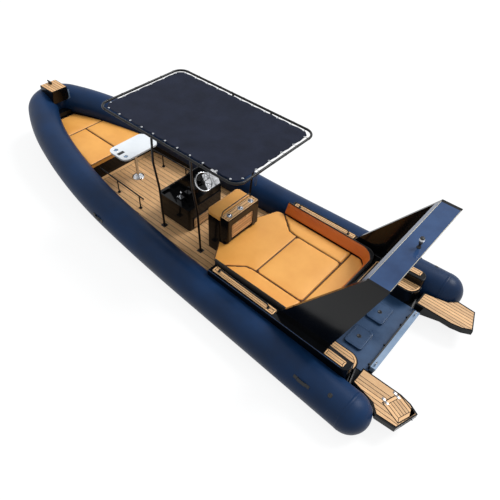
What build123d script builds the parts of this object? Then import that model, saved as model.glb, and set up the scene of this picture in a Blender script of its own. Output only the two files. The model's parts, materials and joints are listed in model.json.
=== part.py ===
from build123d import *
from math import asin, atan, cos, degrees, radians, sin, sqrt, tan
import os

# Rigid inflatable boat: deep-V hull with a U-shaped air collar, afloat.
# Millimetres. X runs to the bow from the transom, Y to port, Z up from the waterline.

# Levels above the waterline
sole_z = 180            # top of the teak-laid cockpit sole
pad_top_z = 520         # aft sun pad
bow_pad_top_z = 590     # bow sun pad
side_deck_z = 658       # black side decks, under their teak
step_z = 505            # middle boarding steps, under their teak
platform_z = 350        # swim platforms, under their teak
transom_cap_z = 320
canopy_z = 2410         # centre of the canopy's tube frame
arch_top_z = 2270
teak = 10               # thickness of every teak-faced panel
seam = 4                # gap left between neighbouring cushions
move_gap = 6            # gap round every moving piece

# Air collar: a tube that runs aft from a blunt bow to two domed ends
collar_radius = 310
collar_half_beam = 1474     # tube centre from the centreline, at the transom
collar_toe_in = 2.86        # degrees that each side closes in towards the bow
collar_z = 272              # tube centre above the waterline, aft
collar_end_x = -170         # centre of the domed ends
rise_start_x = 3200         # the collar starts to rise here
rise_end_x = 5200           # and climbs at a steady slope from here
bow_slope = 6.5             # degrees
bow_side_radius = 10800     # long bend of each side, up to the heading below
bow_side_heading = 16
bow_quarter_heading = 30    # the middle bend ends here; its radius closes the bow
bow_nose_radius = 420

# Hull stations: x, keel height, chine half-breadth, chine height
stations = [
    (-260, -470, 1120, -60),
    (rise_start_x, -490, 1020, -75),
    (5200, -480, 890, -10),
    (6500, -400, 720, 90),
    (7400, -270, 520, 200),
    (8000, -90, 350, 320),
    (8400, 110, 225, 430),
    (8700, 330, 110, 560),
    (8880, 480, 45, 640),
]
keel_half = 35
chine_flat = 70
strake_places = (0.34, 0.64)    # share of the bottom's breadth
strake_width = 48
transom_x = -110
transom_rake = 12               # degrees
engine_pad = (720, 10)             # half-breadth and rise of the transom's flat for engines
shelf_inset = 100               # hull flange ends this far inside the tube's centre
shelf_drop = 60                 # and this far below it
liner_overlap = 55              # cockpit wall stands this far under the tube's bulge
handle_places = [(540, 42), (5320, 10)]     # x, degrees above level on the tube's outer side
handle_length = 280
handle_width = 44
handle_rise = 34
eye_radius = 14                 # bore of the towing eyes
eye_thick = 16
bow_eye_x = 8560
stern_eye = (-66, 620)          # x and half-breadth on the transom cap

# Bow
bow_pad_x = (6560, 8410)
bow_pad_seam_x = 7730
bow_pad_thick = 110
bow_pad_gap = 10                # from the tube
bow_locker_deep_x = 6760        # the locker reaches the sole only aft of this
bow_locker_shelf_z = 400
bow_step_x = (8440, 8890)
bow_step_half = (190, 200)
bow_step_z = 1230
bow_step_drop = 90

# Table on a pedestal
table_centre = (6040, 10)
table_size = (540, 880)
table_z = 930
table_thick = 34
table_corner = 130
pedestal_radius = 30

# Low rails either side of the forward cockpit
low_rail_x = (5110, 6500)
low_rail_y = 620
low_rail_z = 480
low_rail_feet_x = (5240, 5920)
low_rail_toe_in = 40            # over its length
foot_radius = 34
rail_tube = 30                  # outside diameter of every black rail

# Console
console_x = (4060, 4880)
console_y = (-440, 430)
console_shelf_z = 680
shelf_depth = 45                # tray let into the shelf, which holds the throttle
dash_y = (-440, 190)
dash_top_z = 1150
panel_y = (-425, -95)           # instrument panel on the dash
kick_y = (-240, 326)            # teak kick board under the dash
kick_z = (220, 440)
# Share of the slope, share of the panel's breadth, radius
gauges = [(0.66, -0.27, 45), (0.66, 0.27, 45), (0.3, -0.33, 22), (0.3, 0, 22), (0.3, 0.33, 22)]
screen_rise = 185               # windscreen frame above the dash
screen_rake = 135
wheel_radius = 185
wheel_rim = 26
wheel_centre = (4080, 10, 1120)
wheel_tilt = 45                 # degrees, axis up from level, pointing aft
wheel_spokes = 6
shaft_radius = 14
shaft_fit = 0.05

# Helm seat
seat_x = (3150, 3560)
seat_y = (-350, 450)
seat_base_z = 960
helm_pad_thick = 100
back_x = (3075, 3270)
back_z = (570, 1070)
leaf_y = (-190, 350)
leaf_height = 300
leaf_top_z = 925
leaf_thick = 22
cup_radius = 42
cup_depth = 60

# Aft sun pad
pad_x = (985, 3020)
pad_half = 885
pad_thick = 120
pad_corner = 190
centre_pad_x = (1380, 2330)
centre_pad_half = 565
seam_bend = (180, 25)               # forward and outboard of the centre cushion's corner
seam_end_x = 530                    # forward of the centre cushion, at the pad's side
bolster_foot_half = 885             # inner face at the pad
bolster_lean = 22                   # degrees that its face leans outward
bolster_z = (522, 742)
bolster_end_x = 2880

# Side decks, coaming and steps
side_deck_x = (110, 2850)
side_deck_outer = (1235, 1185)      # half-breadths at the two ends
side_deck_inner = 1040              # beside the aft end of the middle step
coaming_inner = 1000                # beside the sun pad
aft_coaming_x = (770, 960)
step_inner = 800
step_aft_x = 95
step_curve = 190
teak_edge = 18                      # black rim left round every teak panel
strip_x = (205, 2790)
strip_aft_y = (1095, 1212)
strip_fore_y = (1020, 1148)
coaming_strip_half = 900
grab_tube = 22
grab_height = 70                    # centre above the teak
grab_bend = 45
side_grab_x = (1630, 2680)
stern_grab_half = 820

# Swim platforms and the engine well
platform_thick = 90
platform_inner = 815
platform_outline = [(40, 815), (-590, 815), (-760, 850), (-905, 925), (-775, 1320), (-470, 1340),
                    (-330, 1210), (40, 1120)]
platform_rim = 22
platform_root = (840, 1110)     # half-breadths of its seat on the hull
gusset_places = (860, 1060)
gusset_thick = 24
gusset_reach = 430
gusset_drop = 170
cap_x = (-110, -20)
cap_half = 700
well_front_x = 770
hatch_x = (250, 560)
hatch_y = (110, 525)
hatch_thick = 40
lid_angle = 21                      # degrees the ladder lid is turned outboard
lid_centre = (-660, 1030)
lid_size = (330, 290)
lid_depth = 28                      # below the platform's top
ladder_depth = 70
ladder_half = 95                    # stringers from the lid's middle line
ladder_tube = 26

# Arch
arch_foot_x = (550, 1490)
arch_top_x = (30, 340)
arch_foot_y = 1075
arch_top_y = 1010
arch_thick = 60
beam_thick = 90

nav_light = (136, 79)               # foot on the beam

# Canopy
canopy_x = (2500, 5550)
canopy_half = 930
canopy_corner = 180
canopy_tube = 40
canopy_lace = 55                    # cloth's edge stands this far inside the frame
canopy_cloth = 8
canopy_legs = [(4540, 630, 4250), (3570, 640, 3400)]    # foot x, foot y, top x
leg_tube = 38


def ring(points):
    """Face inside a closed outline of straight lines in the XY plane."""
    return make_face(Polyline(*points, close=True))


def prism(points, z0, z1):
    return extrude(Pos(0, 0, z0) * ring(points), amount=z1 - z0)


def side_prism(points, y0, y1):
    """Outline of (x, z) points, extruded across the boat from y0 to y1."""
    plane = Plane(origin=(0, y1, 0), x_dir=(1, 0, 0), z_dir=(0, -1, 0))
    return extrude(plane * ring(points), amount=y1 - y0)


def block(x, y, z):
    """Box from three (low, high) pairs."""
    size = [high - low for low, high in (x, y, z)]
    middle = [(high + low) / 2 for low, high in (x, y, z)]
    return Pos(*middle) * Box(*size)


def rounded(solid, axis, radius):
    return fillet(solid.edges().filter_by(axis), radius)


def mirrored(shape):
    return mirror(shape, about=Plane.XZ)


def both_sides(shape):
    return Compound([shape, mirrored(shape)])


def tube_along(edges, radius):
    """Round tube along edges that are straight or arcs, each an exact cylinder or ring segment."""
    pieces = []
    for edge in edges:
        start, heading = edge @ 0, edge % 0
        disc = Plane(origin=start, z_dir=heading) * Circle(radius)
        if edge.geom_type == GeomType.LINE:
            pieces.append(extrude(disc, amount=edge.length))
        else:
            centre = edge.arc_center
            axis = Axis(centre, (start - centre).cross(heading))
            pieces.append(revolve(disc, axis=axis, revolution_arc=degrees(edge.length / edge.radius)))
    tube = pieces[0]
    for piece in pieces[1:]:
        tube += piece
    return tube


def tube_run(points, radius, bends):
    """Round tube through points, bent at each corner to the given radius."""
    path = FilletPolyline(*points, radius=bends) if bends else Polyline(*points)
    return tube_along(path.edges(), radius)


def lug(thick):
    """Round-nosed eye along +X from the origin, bored across."""
    nose = Rot(90, 0, 0) * Cylinder(2 * eye_radius + 2, thick)
    foot = Pos(-3 * eye_radius / 2, 0, 0) * Box(3 * eye_radius, thick, 4 * eye_radius + 4)
    return nose + foot - Rot(90, 0, 0) * Cylinder(eye_radius, 3 * thick)


def save(name, shape):
    export_step(shape, "parts/" + name + ".step")


# Collar centre line: a straight run, an upward bend, then three bends in the rising bow plane
toe = radians(collar_toe_in)
slope = radians(bow_slope)
climb = atan(tan(slope) * cos(toe))
rise_run = (rise_end_x - rise_start_x) / cos(toe)
rise_radius = rise_run / sin(climb)
rise_end_z = collar_z + rise_radius * (1 - cos(climb))
rise_end_y = collar_half_beam - rise_end_x * tan(toe)
start_heading = asin(sin(toe) * cos(climb))
side_heading = radians(bow_side_heading)
quarter_heading = radians(bow_quarter_heading)
side_end_y = rise_end_y - bow_side_radius * (cos(start_heading) - cos(side_heading))
quarter_radius = ((side_end_y - bow_nose_radius * cos(quarter_heading))
                  / (cos(side_heading) - cos(quarter_heading)))
# radius, heading at the start, heading at the end
bow_bends = [
    (bow_side_radius, start_heading, side_heading),
    (quarter_radius, side_heading, quarter_heading),
    (bow_nose_radius, quarter_heading, radians(90)),
]


def bow_point(run, y):
    """Point of the rising bow plane, run millimetres forward of where the slope begins."""
    return (rise_end_x + run * cos(slope), y, rise_end_z + run * sin(slope))


def bend_point(bend, run, y, heading):
    radius, start, _ = bend
    return (run + radius * (sin(heading) - sin(start)), y - radius * (cos(start) - cos(heading)))


def collar_at(x):
    """Port tube centre's y and z at a distance from the transom."""
    if x <= rise_end_x:
        along = max(0, x - rise_start_x) / cos(toe)
        return (collar_half_beam - x * tan(toe),
                collar_z + rise_radius - sqrt(rise_radius ** 2 - along ** 2))
    run, y = 0, rise_end_y
    target = (x - rise_end_x) / cos(slope)
    for bend in bow_bends:
        radius, start, end = bend
        end_run, end_y = bend_point(bend, run, y, end)
        if target <= end_run:
            heading = asin(sin(start) + (target - run) / radius)
            return bend_point(bend, run, y, heading)[1], rise_end_z + target * sin(slope)
        run, y = end_run, end_y
    return 0, rise_end_z + run * sin(slope)


def collar_path():
    """Edges of the port half, from the stern to the nose."""
    stern = (collar_end_x, *collar_at(collar_end_x))
    rise_start = (rise_start_x, *collar_at(rise_start_x))
    rise_middle_run = rise_radius * sin(climb / 2)
    rise_middle_x = rise_start_x + rise_middle_run * cos(toe)
    rise_middle = (rise_middle_x, *collar_at(rise_middle_x))
    edges = [Line(stern, rise_start), ThreePointArc(rise_start, rise_middle, bow_point(0, rise_end_y))]
    run, y = 0, rise_end_y
    for bend in bow_bends:
        middle = bend_point(bend, run, y, (bend[1] + bend[2]) / 2)
        end = bend_point(bend, run, y, bend[2])
        edges.append(ThreePointArc(bow_point(run, y), bow_point(*middle), bow_point(*end)))
        run, y = end
    return edges


def make_collar(extra=0):
    """The collar, or with extra a fatter one that cuts clearance for it."""
    edges = [line.edge() for line in collar_path()]
    tube = tube_along(edges, collar_radius + extra)
    half = tube + Pos(*(edges[0] @ 0)) * Sphere(collar_radius + extra)
    return half + mirrored(half)


def outer_frame(x, angle):
    """Plane on the tube's outer port side: X along the tube, Z straight out from it."""
    y, z = collar_at(x)
    ahead_y, ahead_z = collar_at(x + 50)
    along = Vector(50, ahead_y - y, ahead_z - z).normalized()
    out = Vector(0, cos(radians(angle)), sin(radians(angle)))
    out = (out - along * out.dot(along)).normalized()
    return Plane(origin=Vector(x, y, z) + out * collar_radius, x_dir=along, z_dir=out)


def inner_half(x, gap):
    """Half-breadth between the tubes at their fullest height."""
    return collar_at(x)[0] - collar_radius - gap


def hull_section(x, keel_z, chine_half, chine_z):
    rise = (chine_z - keel_z) / (chine_half - keel_half)
    half = [(keel_half, keel_z)]
    for place in strake_places:
        inner = keel_half + place * (chine_half - keel_half)
        width = strake_width * min(1, chine_half / stations[2][2])
        z = keel_z + (inner - keel_half) * rise
        half += [(inner, z), (inner + width, z), (inner + width, z + width * rise)]
    collar_y, collar_height = collar_at(x)
    half += [(chine_half, chine_z), (chine_half + chine_flat * min(1, chine_half / stations[2][2]), chine_z),
             (max(collar_y - shelf_inset, chine_half + 5), collar_height - shelf_drop)]
    outline = half + [(-y, z) for y, z in reversed(half)]
    plane = Plane(origin=(x, 0, 0), x_dir=(0, 1, 0), z_dir=(1, 0, 0))
    return plane * ring(outline)


def cockpit_outline(x0, x1, count, gap):
    """Both sides of the space between the tubes, as one closed outline."""
    xs = [x0 + (x1 - x0) * i / (count - 1) for i in range(count)]
    port = [(x, inner_half(x, gap)) for x in xs]
    return port + [(x, -y) for x, y in reversed(port)]


os.makedirs("parts", exist_ok=True)
collar = make_collar()
collar_room = make_collar(move_gap)
save("collar_tube", collar)

# Lifting handles: two pads and a raised grip
grip = handle_length / 2
rise = handle_rise
handle_side = [(-grip, -30), (-grip, 7), (-grip * 0.6, 7), (-grip * 0.4, rise), (grip * 0.4, rise), (grip * 0.6, 7),
               (grip, 7), (grip, -30), (grip * 0.55, -30), (grip * 0.34, rise - 12), (-grip * 0.34, rise - 12),
               (-grip * 0.55, -30)]
handle = side_prism(handle_side, -handle_width / 2, handle_width / 2)
handles = []
for x, angle in handle_places:
    port_handle = outer_frame(x, angle) * handle - collar
    handles += [port_handle, mirrored(port_handle)]
save("collar_handles", Compound(handles))

# Hull, raked at the transom and hollowed down to the sole and under the bow pad
hull = loft([hull_section(*row) for row in stations], ruled=True)
transom_seat = Pos(transom_x, 0, transom_cap_z) * Rot(0, -transom_rake, 0)
behind = transom_seat * block((-900, 0), (-2000, 2000), (-1500, 1500))
beside_pad = transom_seat * block((-900, engine_pad[1]), (engine_pad[0], 2000), (-1500, 1500))
pocket_x = (side_deck_x[1] - 60, bow_pad_x[1] + 30)
deep_pocket = cockpit_outline(pocket_x[0], bow_locker_deep_x, 5, -liner_overlap)
bow_pocket = cockpit_outline(bow_locker_deep_x, pocket_x[1], 6, 0)
hull -= behind + beside_pad + mirrored(beside_pad)
hull -= prism(deep_pocket, sole_z - teak, 900) + prism(bow_pocket, bow_locker_shelf_z, 1100) + collar
save("hull", hull)

hull_top = collar_z - shelf_drop
forward = block((bow_pad_x[0], 9000), (-2000, 2000), (0, 2000))
sole = prism(deep_pocket, sole_z - teak, sole_z) - collar - forward
save("cockpit_sole", sole)

# Bow locker, its three cushions and the boarding step over the nose
locker = prism(deep_pocket, sole_z - teak, bow_pad_top_z - bow_pad_thick) & forward
locker += prism(bow_pocket, bow_locker_shelf_z, bow_pad_top_z - bow_pad_thick)
save("bow_locker", locker - collar)

pad_outline = cockpit_outline(bow_pad_x[0], bow_pad_x[1], 6, bow_pad_gap)
bow_pad = prism(pad_outline, bow_pad_top_z - bow_pad_thick, bow_pad_top_z) - collar
seam_x = bow_pad_seam_x
pad_cells = {
    "bow_pad_front": ((seam_x + seam / 2, 9000), (-2000, 2000)),
    "bow_pad_port": ((0, seam_x - seam / 2), (seam / 2, 2000)),
    "bow_pad_starboard": ((0, seam_x - seam / 2), (-2000, -seam / 2)),
}
for name, (x, y) in pad_cells.items():
    save(name, bow_pad & block(x, y, (0, 2000)))

step_x0, step_x1 = bow_step_x
half_aft, half_fore = bow_step_half
step_outline = [(step_x0, -half_aft), (step_x1, -half_fore), (step_x1, half_fore), (step_x0, half_aft)]
bow_step = rounded(prism(step_outline, bow_step_z - 700, bow_step_z - teak), Axis.Z, 30)
bow_step &= side_prism([(step_x0 + 40, 930), (step_x1 + 60, 1000), (step_x1 + 60, bow_step_z),
                        (step_x0 - 10, bow_step_z)], -400, 400)
save("bow_step", bow_step - collar)
teak_outline = [(step_x0 + 14, -half_aft + 14), (step_x1 - 14, -half_fore + 14),
                (step_x1 - 14, half_fore - 14), (step_x0 + 14, half_aft - 14)]
save("bow_step_teak", rounded(prism(teak_outline, bow_step_z - teak, bow_step_z), Axis.Z, 20))
fairlead = block((step_x1 - 150, step_x1 - 60), (-16, 16), (bow_step_z, bow_step_z + 45))
fairlead += Pos(step_x1 - 105, 0, bow_step_z + 52) * Rot(0, 90, 0) * Cylinder(15, 150)
save("bow_cleat", fairlead)

# Table on its pedestal
table_x, table_y = table_centre
length, width = table_size
table = Pos(table_x, table_y, table_z - table_thick / 2) * Box(length, width, table_thick)
table = rounded(table, Axis.Z, table_corner)
cup_x = table_size[0] * 0.28
cup_y = table_y + width / 2 - 110
table_cups = [(table_x + cup_x, cup_y - 10), (table_x - cup_x, cup_y - 10)]
for x, y in table_cups:
    table -= Pos(x, y, table_z) * Cylinder(cup_radius, 2 * (table_thick - 8))
save("table_top", table)
pedestal_top = table_z - table_thick
pedestal = Pos(table_x, 0, (sole_z + pedestal_top) / 2) * Cylinder(pedestal_radius, pedestal_top - sole_z)
pedestal += Pos(table_x, 0, sole_z + 7) * Cylinder(95, 14)
pedestal += Pos(table_x, 0, sole_z + 32) * Cylinder(44, 50)
pedestal += Pos(table_x, 0, pedestal_top - 9) * Cylinder(100, 18)
save("table_pedestal", pedestal)

# Low rails either side of the forward cockpit
rail_r = rail_tube / 2
rail_x0, rail_x1 = low_rail_x
rail = tube_run([(rail_x0, low_rail_y, low_rail_z), (rail_x1, low_rail_y - low_rail_toe_in, low_rail_z)], rail_r, None)
for x in low_rail_feet_x:
    y = low_rail_y - low_rail_toe_in * (x - rail_x0) / (rail_x1 - rail_x0)
    rail += Pos(x, y, (sole_z + low_rail_z) / 2) * Cylinder(rail_r - 2, low_rail_z - sole_z)
    rail += Pos(x, y, sole_z + 5) * Cylinder(foot_radius, 10)
save("low_rails", both_sides(rail))

# Console: a low moulding with a raised dash on its starboard side
c0, c1 = console_x
console = block(console_x, console_y, (sole_z, console_shelf_z))
console = rounded(console, Axis.Z, 40)
dash_profile = [(c0 + 15, console_shelf_z - 60), (c0 + 25, console_shelf_z + 140), (c0 + 190, dash_top_z),
                (c0 + 330, dash_top_z + 10), (c1 - 60, console_shelf_z + 40), (c1 - 20, console_shelf_z - 60)]
dash = side_prism(dash_profile, *dash_y)
console += dash
shelf_room = block((c0 + 60, c1 - 60), (dash_y[1] + 25, console_y[1] - 25), (console_shelf_z - shelf_depth, console_shelf_z + 1))
console -= rounded(shelf_room, Axis.Z, 25)
tilt = radians(wheel_tilt)
hub = Vector(*wheel_centre)
toward = Vector(-cos(tilt), 0, sin(tilt))
wheel_plane = Plane(origin=hub, x_dir=(0, 1, 0), z_dir=toward)
boss = wheel_plane * (Pos(0, 0, -110) * Cylinder(45, 150))
bore = wheel_plane * (Pos(0, 0, -90) * Cylinder(shaft_radius + shaft_fit, 150))
console = console + boss - bore
save("console", console)

wheel = wheel_plane * Torus(wheel_radius - wheel_rim / 2, wheel_rim / 2)
wheel += wheel_plane * (Pos(0, 0, -12) * Cylinder(42, 30))
for i in range(wheel_spokes):
    spoke = Rot(0, 0, i * 360 / wheel_spokes) * Pos(wheel_radius / 2, 0, -6) * Rot(0, 90, 0)
    wheel += wheel_plane * (spoke * Cylinder(7, wheel_radius - wheel_rim))
wheel += wheel_plane * (Pos(0, 0, -60) * Cylinder(shaft_radius, 100))
save("steering_wheel", wheel)

# Instrument panel on the dash's slope, and the teak kick board at its foot
panel_low, panel_high = Vector(*dash_profile[1]), Vector(*dash_profile[2])
slope_dir = Vector(panel_high.X - panel_low.X, 0, panel_high.Y - panel_low.Y).normalized()
slope_length = (panel_high - panel_low).length
panel_plane = Plane(origin=(panel_low.X, (panel_y[0] + panel_y[1]) / 2, panel_low.Y), x_dir=slope_dir,
                    z_dir=Vector(0, 1, 0).cross(slope_dir) * -1)
panel_width = panel_y[1] - panel_y[0]
panel = Pos(slope_length / 2, 0, 4) * Box(slope_length - 50, panel_width, 8)
for along, across, radius in gauges:
    panel += Pos(slope_length * along, panel_width * across, 8) * Cylinder(radius, 14)
save("switch_panel", panel_plane * panel - console)
kick = block((c0 - 20, c0), kick_y, kick_z)
save("kick_board", rounded(kick, Axis.X, 15))

screen_foot = c0 + 330
screen_profile = [(screen_foot, dash_top_z + 10), (screen_foot - 120, dash_top_z + 150),
                  (screen_foot - 112, dash_top_z + 156), (screen_foot + 10, dash_top_z + 16)]
screen = side_prism([(x, z + 4) for x, z in screen_profile], dash_y[0] + 30, dash_y[1] - 30)
save("windscreen", screen)
frame_y = (dash_y[0] + 10, dash_y[1] - 10)
frame_foot = (screen_foot + 20, dash_top_z - 20)
frame_top = (screen_foot - screen_rake, dash_top_z + screen_rise)
frame_path = [(frame_foot[0], frame_y[0], frame_foot[1]), (frame_top[0], frame_y[0], frame_top[1]),
              (frame_top[0], frame_y[1], frame_top[1]), (frame_foot[0], frame_y[1], frame_foot[1])]
save("windscreen_frame", tube_run(frame_path, 11, 50) - console)
throttle = block((c0 + 300, c0 + 420), (240, 330), (console_shelf_z - shelf_depth, console_shelf_z + 60))
throttle += Pos(c0 + 360, 285, console_shelf_z + 110) * Rot(0, -20, 0) * Cylinder(12, 140)
throttle += Pos(c0 + 336, 285, console_shelf_z + 176) * Sphere(24)
save("throttle", throttle)

# Helm seat: base, bolster cushion, teak-topped back with cups, rail and folding leaf
s0, s1 = seat_x
b0, b1 = back_x
back_foot, back_top = back_z
base = rounded(block((b1, s1), seat_y, (sole_z, seat_base_z)), Axis.Z, 25)
save("helm_seat_base", base)
helm_pad = block((b1 + seam, s1 + 40), (seat_y[0] - 10, seat_y[1] + 10), (seat_base_z, seat_base_z + helm_pad_thick))
helm_pad = fillet(helm_pad.edges().filter_by(Axis.Z).group_by(Axis.X)[-1], 90)
save("helm_pad", fillet(helm_pad.edges().group_by(Axis.Z)[-1], 25))
back = rounded(block((b0, b1), seat_y, (back_foot, back_top - teak)), Axis.Z, 25)
back += block((b0 + 60, b1), (seat_y[0] + 20, seat_y[1] - 20), (pad_top_z - pad_thick, back_foot + 10))
leaf_room = block((b0 - 1, b0 + leaf_thick + 2 * move_gap),
                  (leaf_y[0] - move_gap, leaf_y[1] + move_gap), (back_foot - 1, leaf_top_z + move_gap))
cups = [((b0 + b1) / 2 - 5, seat_y[0] + 130 + i * (seat_y[1] - seat_y[0] - 260) / 2) for i in range(3)]
cup_wells = [Pos(x, y, back_top) * Cylinder(cup_radius, 2 * cup_depth) for x, y in cups]
cup_cut = cup_wells[0] + cup_wells[1] + cup_wells[2]
save("helm_back", back - leaf_room - cup_cut)
helm_top = rounded(block((b0 + 6, b1 - 6), (seat_y[0] + 6, seat_y[1] - 6), (back_top - teak, back_top)), Axis.Z, 20)
save("helm_back_teak", helm_top - cup_cut)
cup_shell = Pos(0, 0, -cup_depth / 2) * (Cylinder(cup_radius, cup_depth) - Pos(0, 0, 3) * Cylinder(cup_radius - 3, cup_depth))
cup_shell += Pos(0, 0, 2) * (Cylinder(cup_radius + 9, 4) - Cylinder(cup_radius - 3, 4))
save("cup_holders", Compound([Pos(x, y, back_top) * cup_shell for x, y in cups]))
rail_x = b1 + seam + 6
top = seat_base_z + helm_pad_thick + 95
helm_rail = tube_run([(rail_x, seat_y[0] + 40, back_top), (rail_x, seat_y[0] + 40, top),
                      (rail_x, seat_y[1] - 40, top), (rail_x, seat_y[1] - 40, back_top)], 9, 60)
helm_rail = Pos(-22, 0, 0) * helm_rail
save("helm_rail", helm_rail)
leaf = block((b0 + move_gap, b0 + move_gap + leaf_thick), leaf_y, (leaf_top_z - leaf_height, leaf_top_z))
save("helm_leaf", rounded(leaf, Axis.X, 20))

# Aft sun pad: locker, five cushions and the bolster round them
p0, p1 = pad_x
pad_outline = [(p0, -pad_half + pad_corner), (p0, pad_half - pad_corner), (p0 + pad_corner, pad_half),
               (p1 - 60, pad_half), (p1 + 10, pad_half - 40), (p1 + 240, seat_y[1] + 30), (b0 + 60, seat_y[1] + 12),
               (b0 + 60, seat_y[0] - 12), (p1 + 200, seat_y[0] - 30), (p1, -pad_half + 30), (p1 - 60, -pad_half),
               (p0 + pad_corner, -pad_half)]
pad_low = pad_top_z - pad_thick
locker_outline = [(min(x, p1 + 200), y * 0.97) for x, y in pad_outline]
aft_locker = prism(locker_outline, hull_top, pad_low) - collar
aft_locker -= block((pocket_x[0], 6000), (-1200, 1200), (0, hull_top + 1)) + back + base
save("aft_locker", aft_locker)
pad = prism(pad_outline, pad_low, pad_top_z) - (back + base)
g = seam / 2
cx0, cx1 = centre_pad_x
ch = centre_pad_half
centre = rounded(block((cx0 + g, cx1 - g), (-ch + g, ch - g), (0, 2000)), Axis.Z, 60)
bend_x, bend_y = cx1 + seam_bend[0], ch + seam_bend[1]
end_x = cx1 + seam_end_x
port_zone = [(cx0 + g, ch + g), (cx1, ch + g), (bend_x, bend_y + g), (end_x, pad_half), (end_x, 2000), (cx0 + g, 2000)]
fore_zone = [(cx1 + g, -ch), (cx1 + g, ch), (bend_x + g, bend_y - g), (end_x + seam, pad_half - seam),
             (end_x + seam, 2000), (6000, 2000), (6000, -2000), (end_x + seam, -2000),
             (end_x + seam, seam - pad_half), (bend_x + g, g - bend_y)]
aft_zone = [(cx0 - g, -2000), (cx0 - g, 2000), (0, 2000), (0, -2000)]
save("aft_pad_centre", pad & centre)
save("aft_pad_port", pad & prism(port_zone, 0, 2000))
save("aft_pad_starboard", pad & mirrored(prism(port_zone, 0, 2000)))
save("aft_pad_forward", pad & prism(fore_zone, 0, 2000))
save("aft_pad_aft", pad & prism(aft_zone, 0, 2000))

# Side decks and the coaming behind the pad
d0, d1 = side_deck_x
deck_outline = [(d0, side_deck_inner), (aft_coaming_x[0], coaming_inner), (d1, coaming_inner),
                (d1, side_deck_outer[1]), (d0, side_deck_outer[0])]
side_deck = prism(deck_outline, hull_top, side_deck_z)
aft_edges = side_deck.edges().filter_by(Axis.Z).group_by(Axis.X)
side_deck = fillet(aft_edges[0].sort_by(Axis.Y)[-1], 120)
aft_edges = side_deck.edges().filter_by(Axis.Z).group_by(Axis.X)
side_deck = fillet(aft_edges[0].sort_by(Axis.Y)[0], 45)
side_deck = fillet(side_deck.edges().group_by(Axis.Z)[-1], 16) - collar
save("side_decks", both_sides(side_deck))
coaming = block(aft_coaming_x, (-coaming_inner + 1, coaming_inner - 1), (hull_top, side_deck_z))
save("aft_coaming", coaming)

# Bolster: a wedge round three sides of the pad, its inner face leaning outward
bolster_low, bolster_high = bolster_z
bolster_x = aft_coaming_x[1] + 2
bolster_half = coaming_inner - 4
bolster_height = bolster_high - bolster_low
outer = block((bolster_x, bolster_end_x), (-bolster_half, bolster_half), (bolster_low, bolster_high))
outer = fillet(outer.edges().filter_by(Axis.Z).group_by(Axis.X)[0], pad_corner)
foot_x = bolster_x + bolster_half - bolster_foot_half
inner_face = Pos((foot_x + 5000) / 2, 0, bolster_low) * RectangleRounded(5000 - foot_x, 2 * bolster_foot_half, pad_corner)
save("pad_bolster", outer - extrude(inner_face, amount=bolster_height, taper=-bolster_lean))

# Middle steps at the engine well's sides
w0 = well_front_x
step = block((step_aft_x, w0), (step_inner, side_deck_inner), (hull_top, step_z))
inner_aft = step.edges().filter_by(Axis.Z).group_by(Axis.X)[0].sort_by(Axis.Y)[0]
step = fillet(inner_aft, step_curve)
side_room = prism([(-500, side_deck_inner), (d0, side_deck_inner), (aft_coaming_x[0], coaming_inner), (w0 + 1, coaming_inner),
                   (w0 + 1, 1500), (-500, 1500)], 0, 2000)
step = step - side_room - collar
save("steps", both_sides(step))

# Teak: strips on the decks, the steps and the platforms
strip_outline = [(strip_x[0], strip_aft_y[0]), (strip_x[0], strip_aft_y[1]), (strip_x[1], strip_fore_y[1]),
                 (strip_x[1], strip_fore_y[0])]
strip = prism(strip_outline, side_deck_z, side_deck_z + teak)
foot_room = block((arch_foot_x[0] - 8, arch_foot_x[1] + 8), (0, 2000), (0, 3000))
coaming_teak = block((aft_coaming_x[0] + 35, aft_coaming_x[1] - 50), (-coaming_strip_half, coaming_strip_half),
                     (side_deck_z, side_deck_z + teak))
save("deck_teak", Compound([strip - foot_room, mirrored(strip - foot_room), coaming_teak]))
step_teak = block((step_aft_x + teak_edge, w0 - teak_edge), (step_inner + teak_edge, side_deck_inner),
                  (step_z, step_z + teak))
inner_aft = step_teak.edges().filter_by(Axis.Z).group_by(Axis.X)[0].sort_by(Axis.Y)[0]
step_teak = fillet(inner_aft, step_curve - teak_edge) - side_room
save("step_teak", both_sides(step_teak))

# Grab rails on the decks and the coaming
deck_top = side_deck_z + teak
grab_z = deck_top + grab_height
rail_ends = []
for x in side_grab_x:
    share = (x - strip_x[0]) / (strip_x[1] - strip_x[0])
    inner = strip_aft_y[0] + share * (strip_fore_y[0] - strip_aft_y[0])
    outer_y = strip_aft_y[1] + share * (strip_fore_y[1] - strip_aft_y[1])
    rail_ends.append((x, (inner + outer_y) / 2))
(g0x, g0y), (g1x, g1y) = rail_ends
side_grab = tube_run([(g0x, g0y, deck_top), (g0x, g0y, grab_z), (g1x, g1y, grab_z), (g1x, g1y, deck_top)],
                     grab_tube / 2, grab_bend)
coaming_mid_x = (aft_coaming_x[0] + aft_coaming_x[1] - 15) / 2
half = stern_grab_half
stern_grab = tube_run([(coaming_mid_x, -half, deck_top), (coaming_mid_x, -half, grab_z),
                       (coaming_mid_x, half, grab_z), (coaming_mid_x, half, deck_top)], grab_tube / 2, grab_bend)
save("grab_rails", Compound([side_grab, mirrored(side_grab), stern_grab]))

# Engine well: cap, lids
cap = block(cap_x, (-cap_half, cap_half), (hull_top, transom_cap_z)) - behind
save("transom_cap", cap)
well_floor = block((cap_x[1], w0), (-step_inner, step_inner), (hull_top, hull_top + 12))
save("well_floor", well_floor)
lid_low = hull_top + 12 + move_gap
for name, side in (("hatch_port", 1), ("hatch_starboard", -1)):
    y = sorted((side * hatch_y[0], side * hatch_y[1]))
    lid = rounded(block(hatch_x, y, (lid_low, lid_low + hatch_thick)), Axis.Z, 50)
    save(name, fillet(lid.edges().group_by(Axis.Z)[-1], 10))

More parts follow.
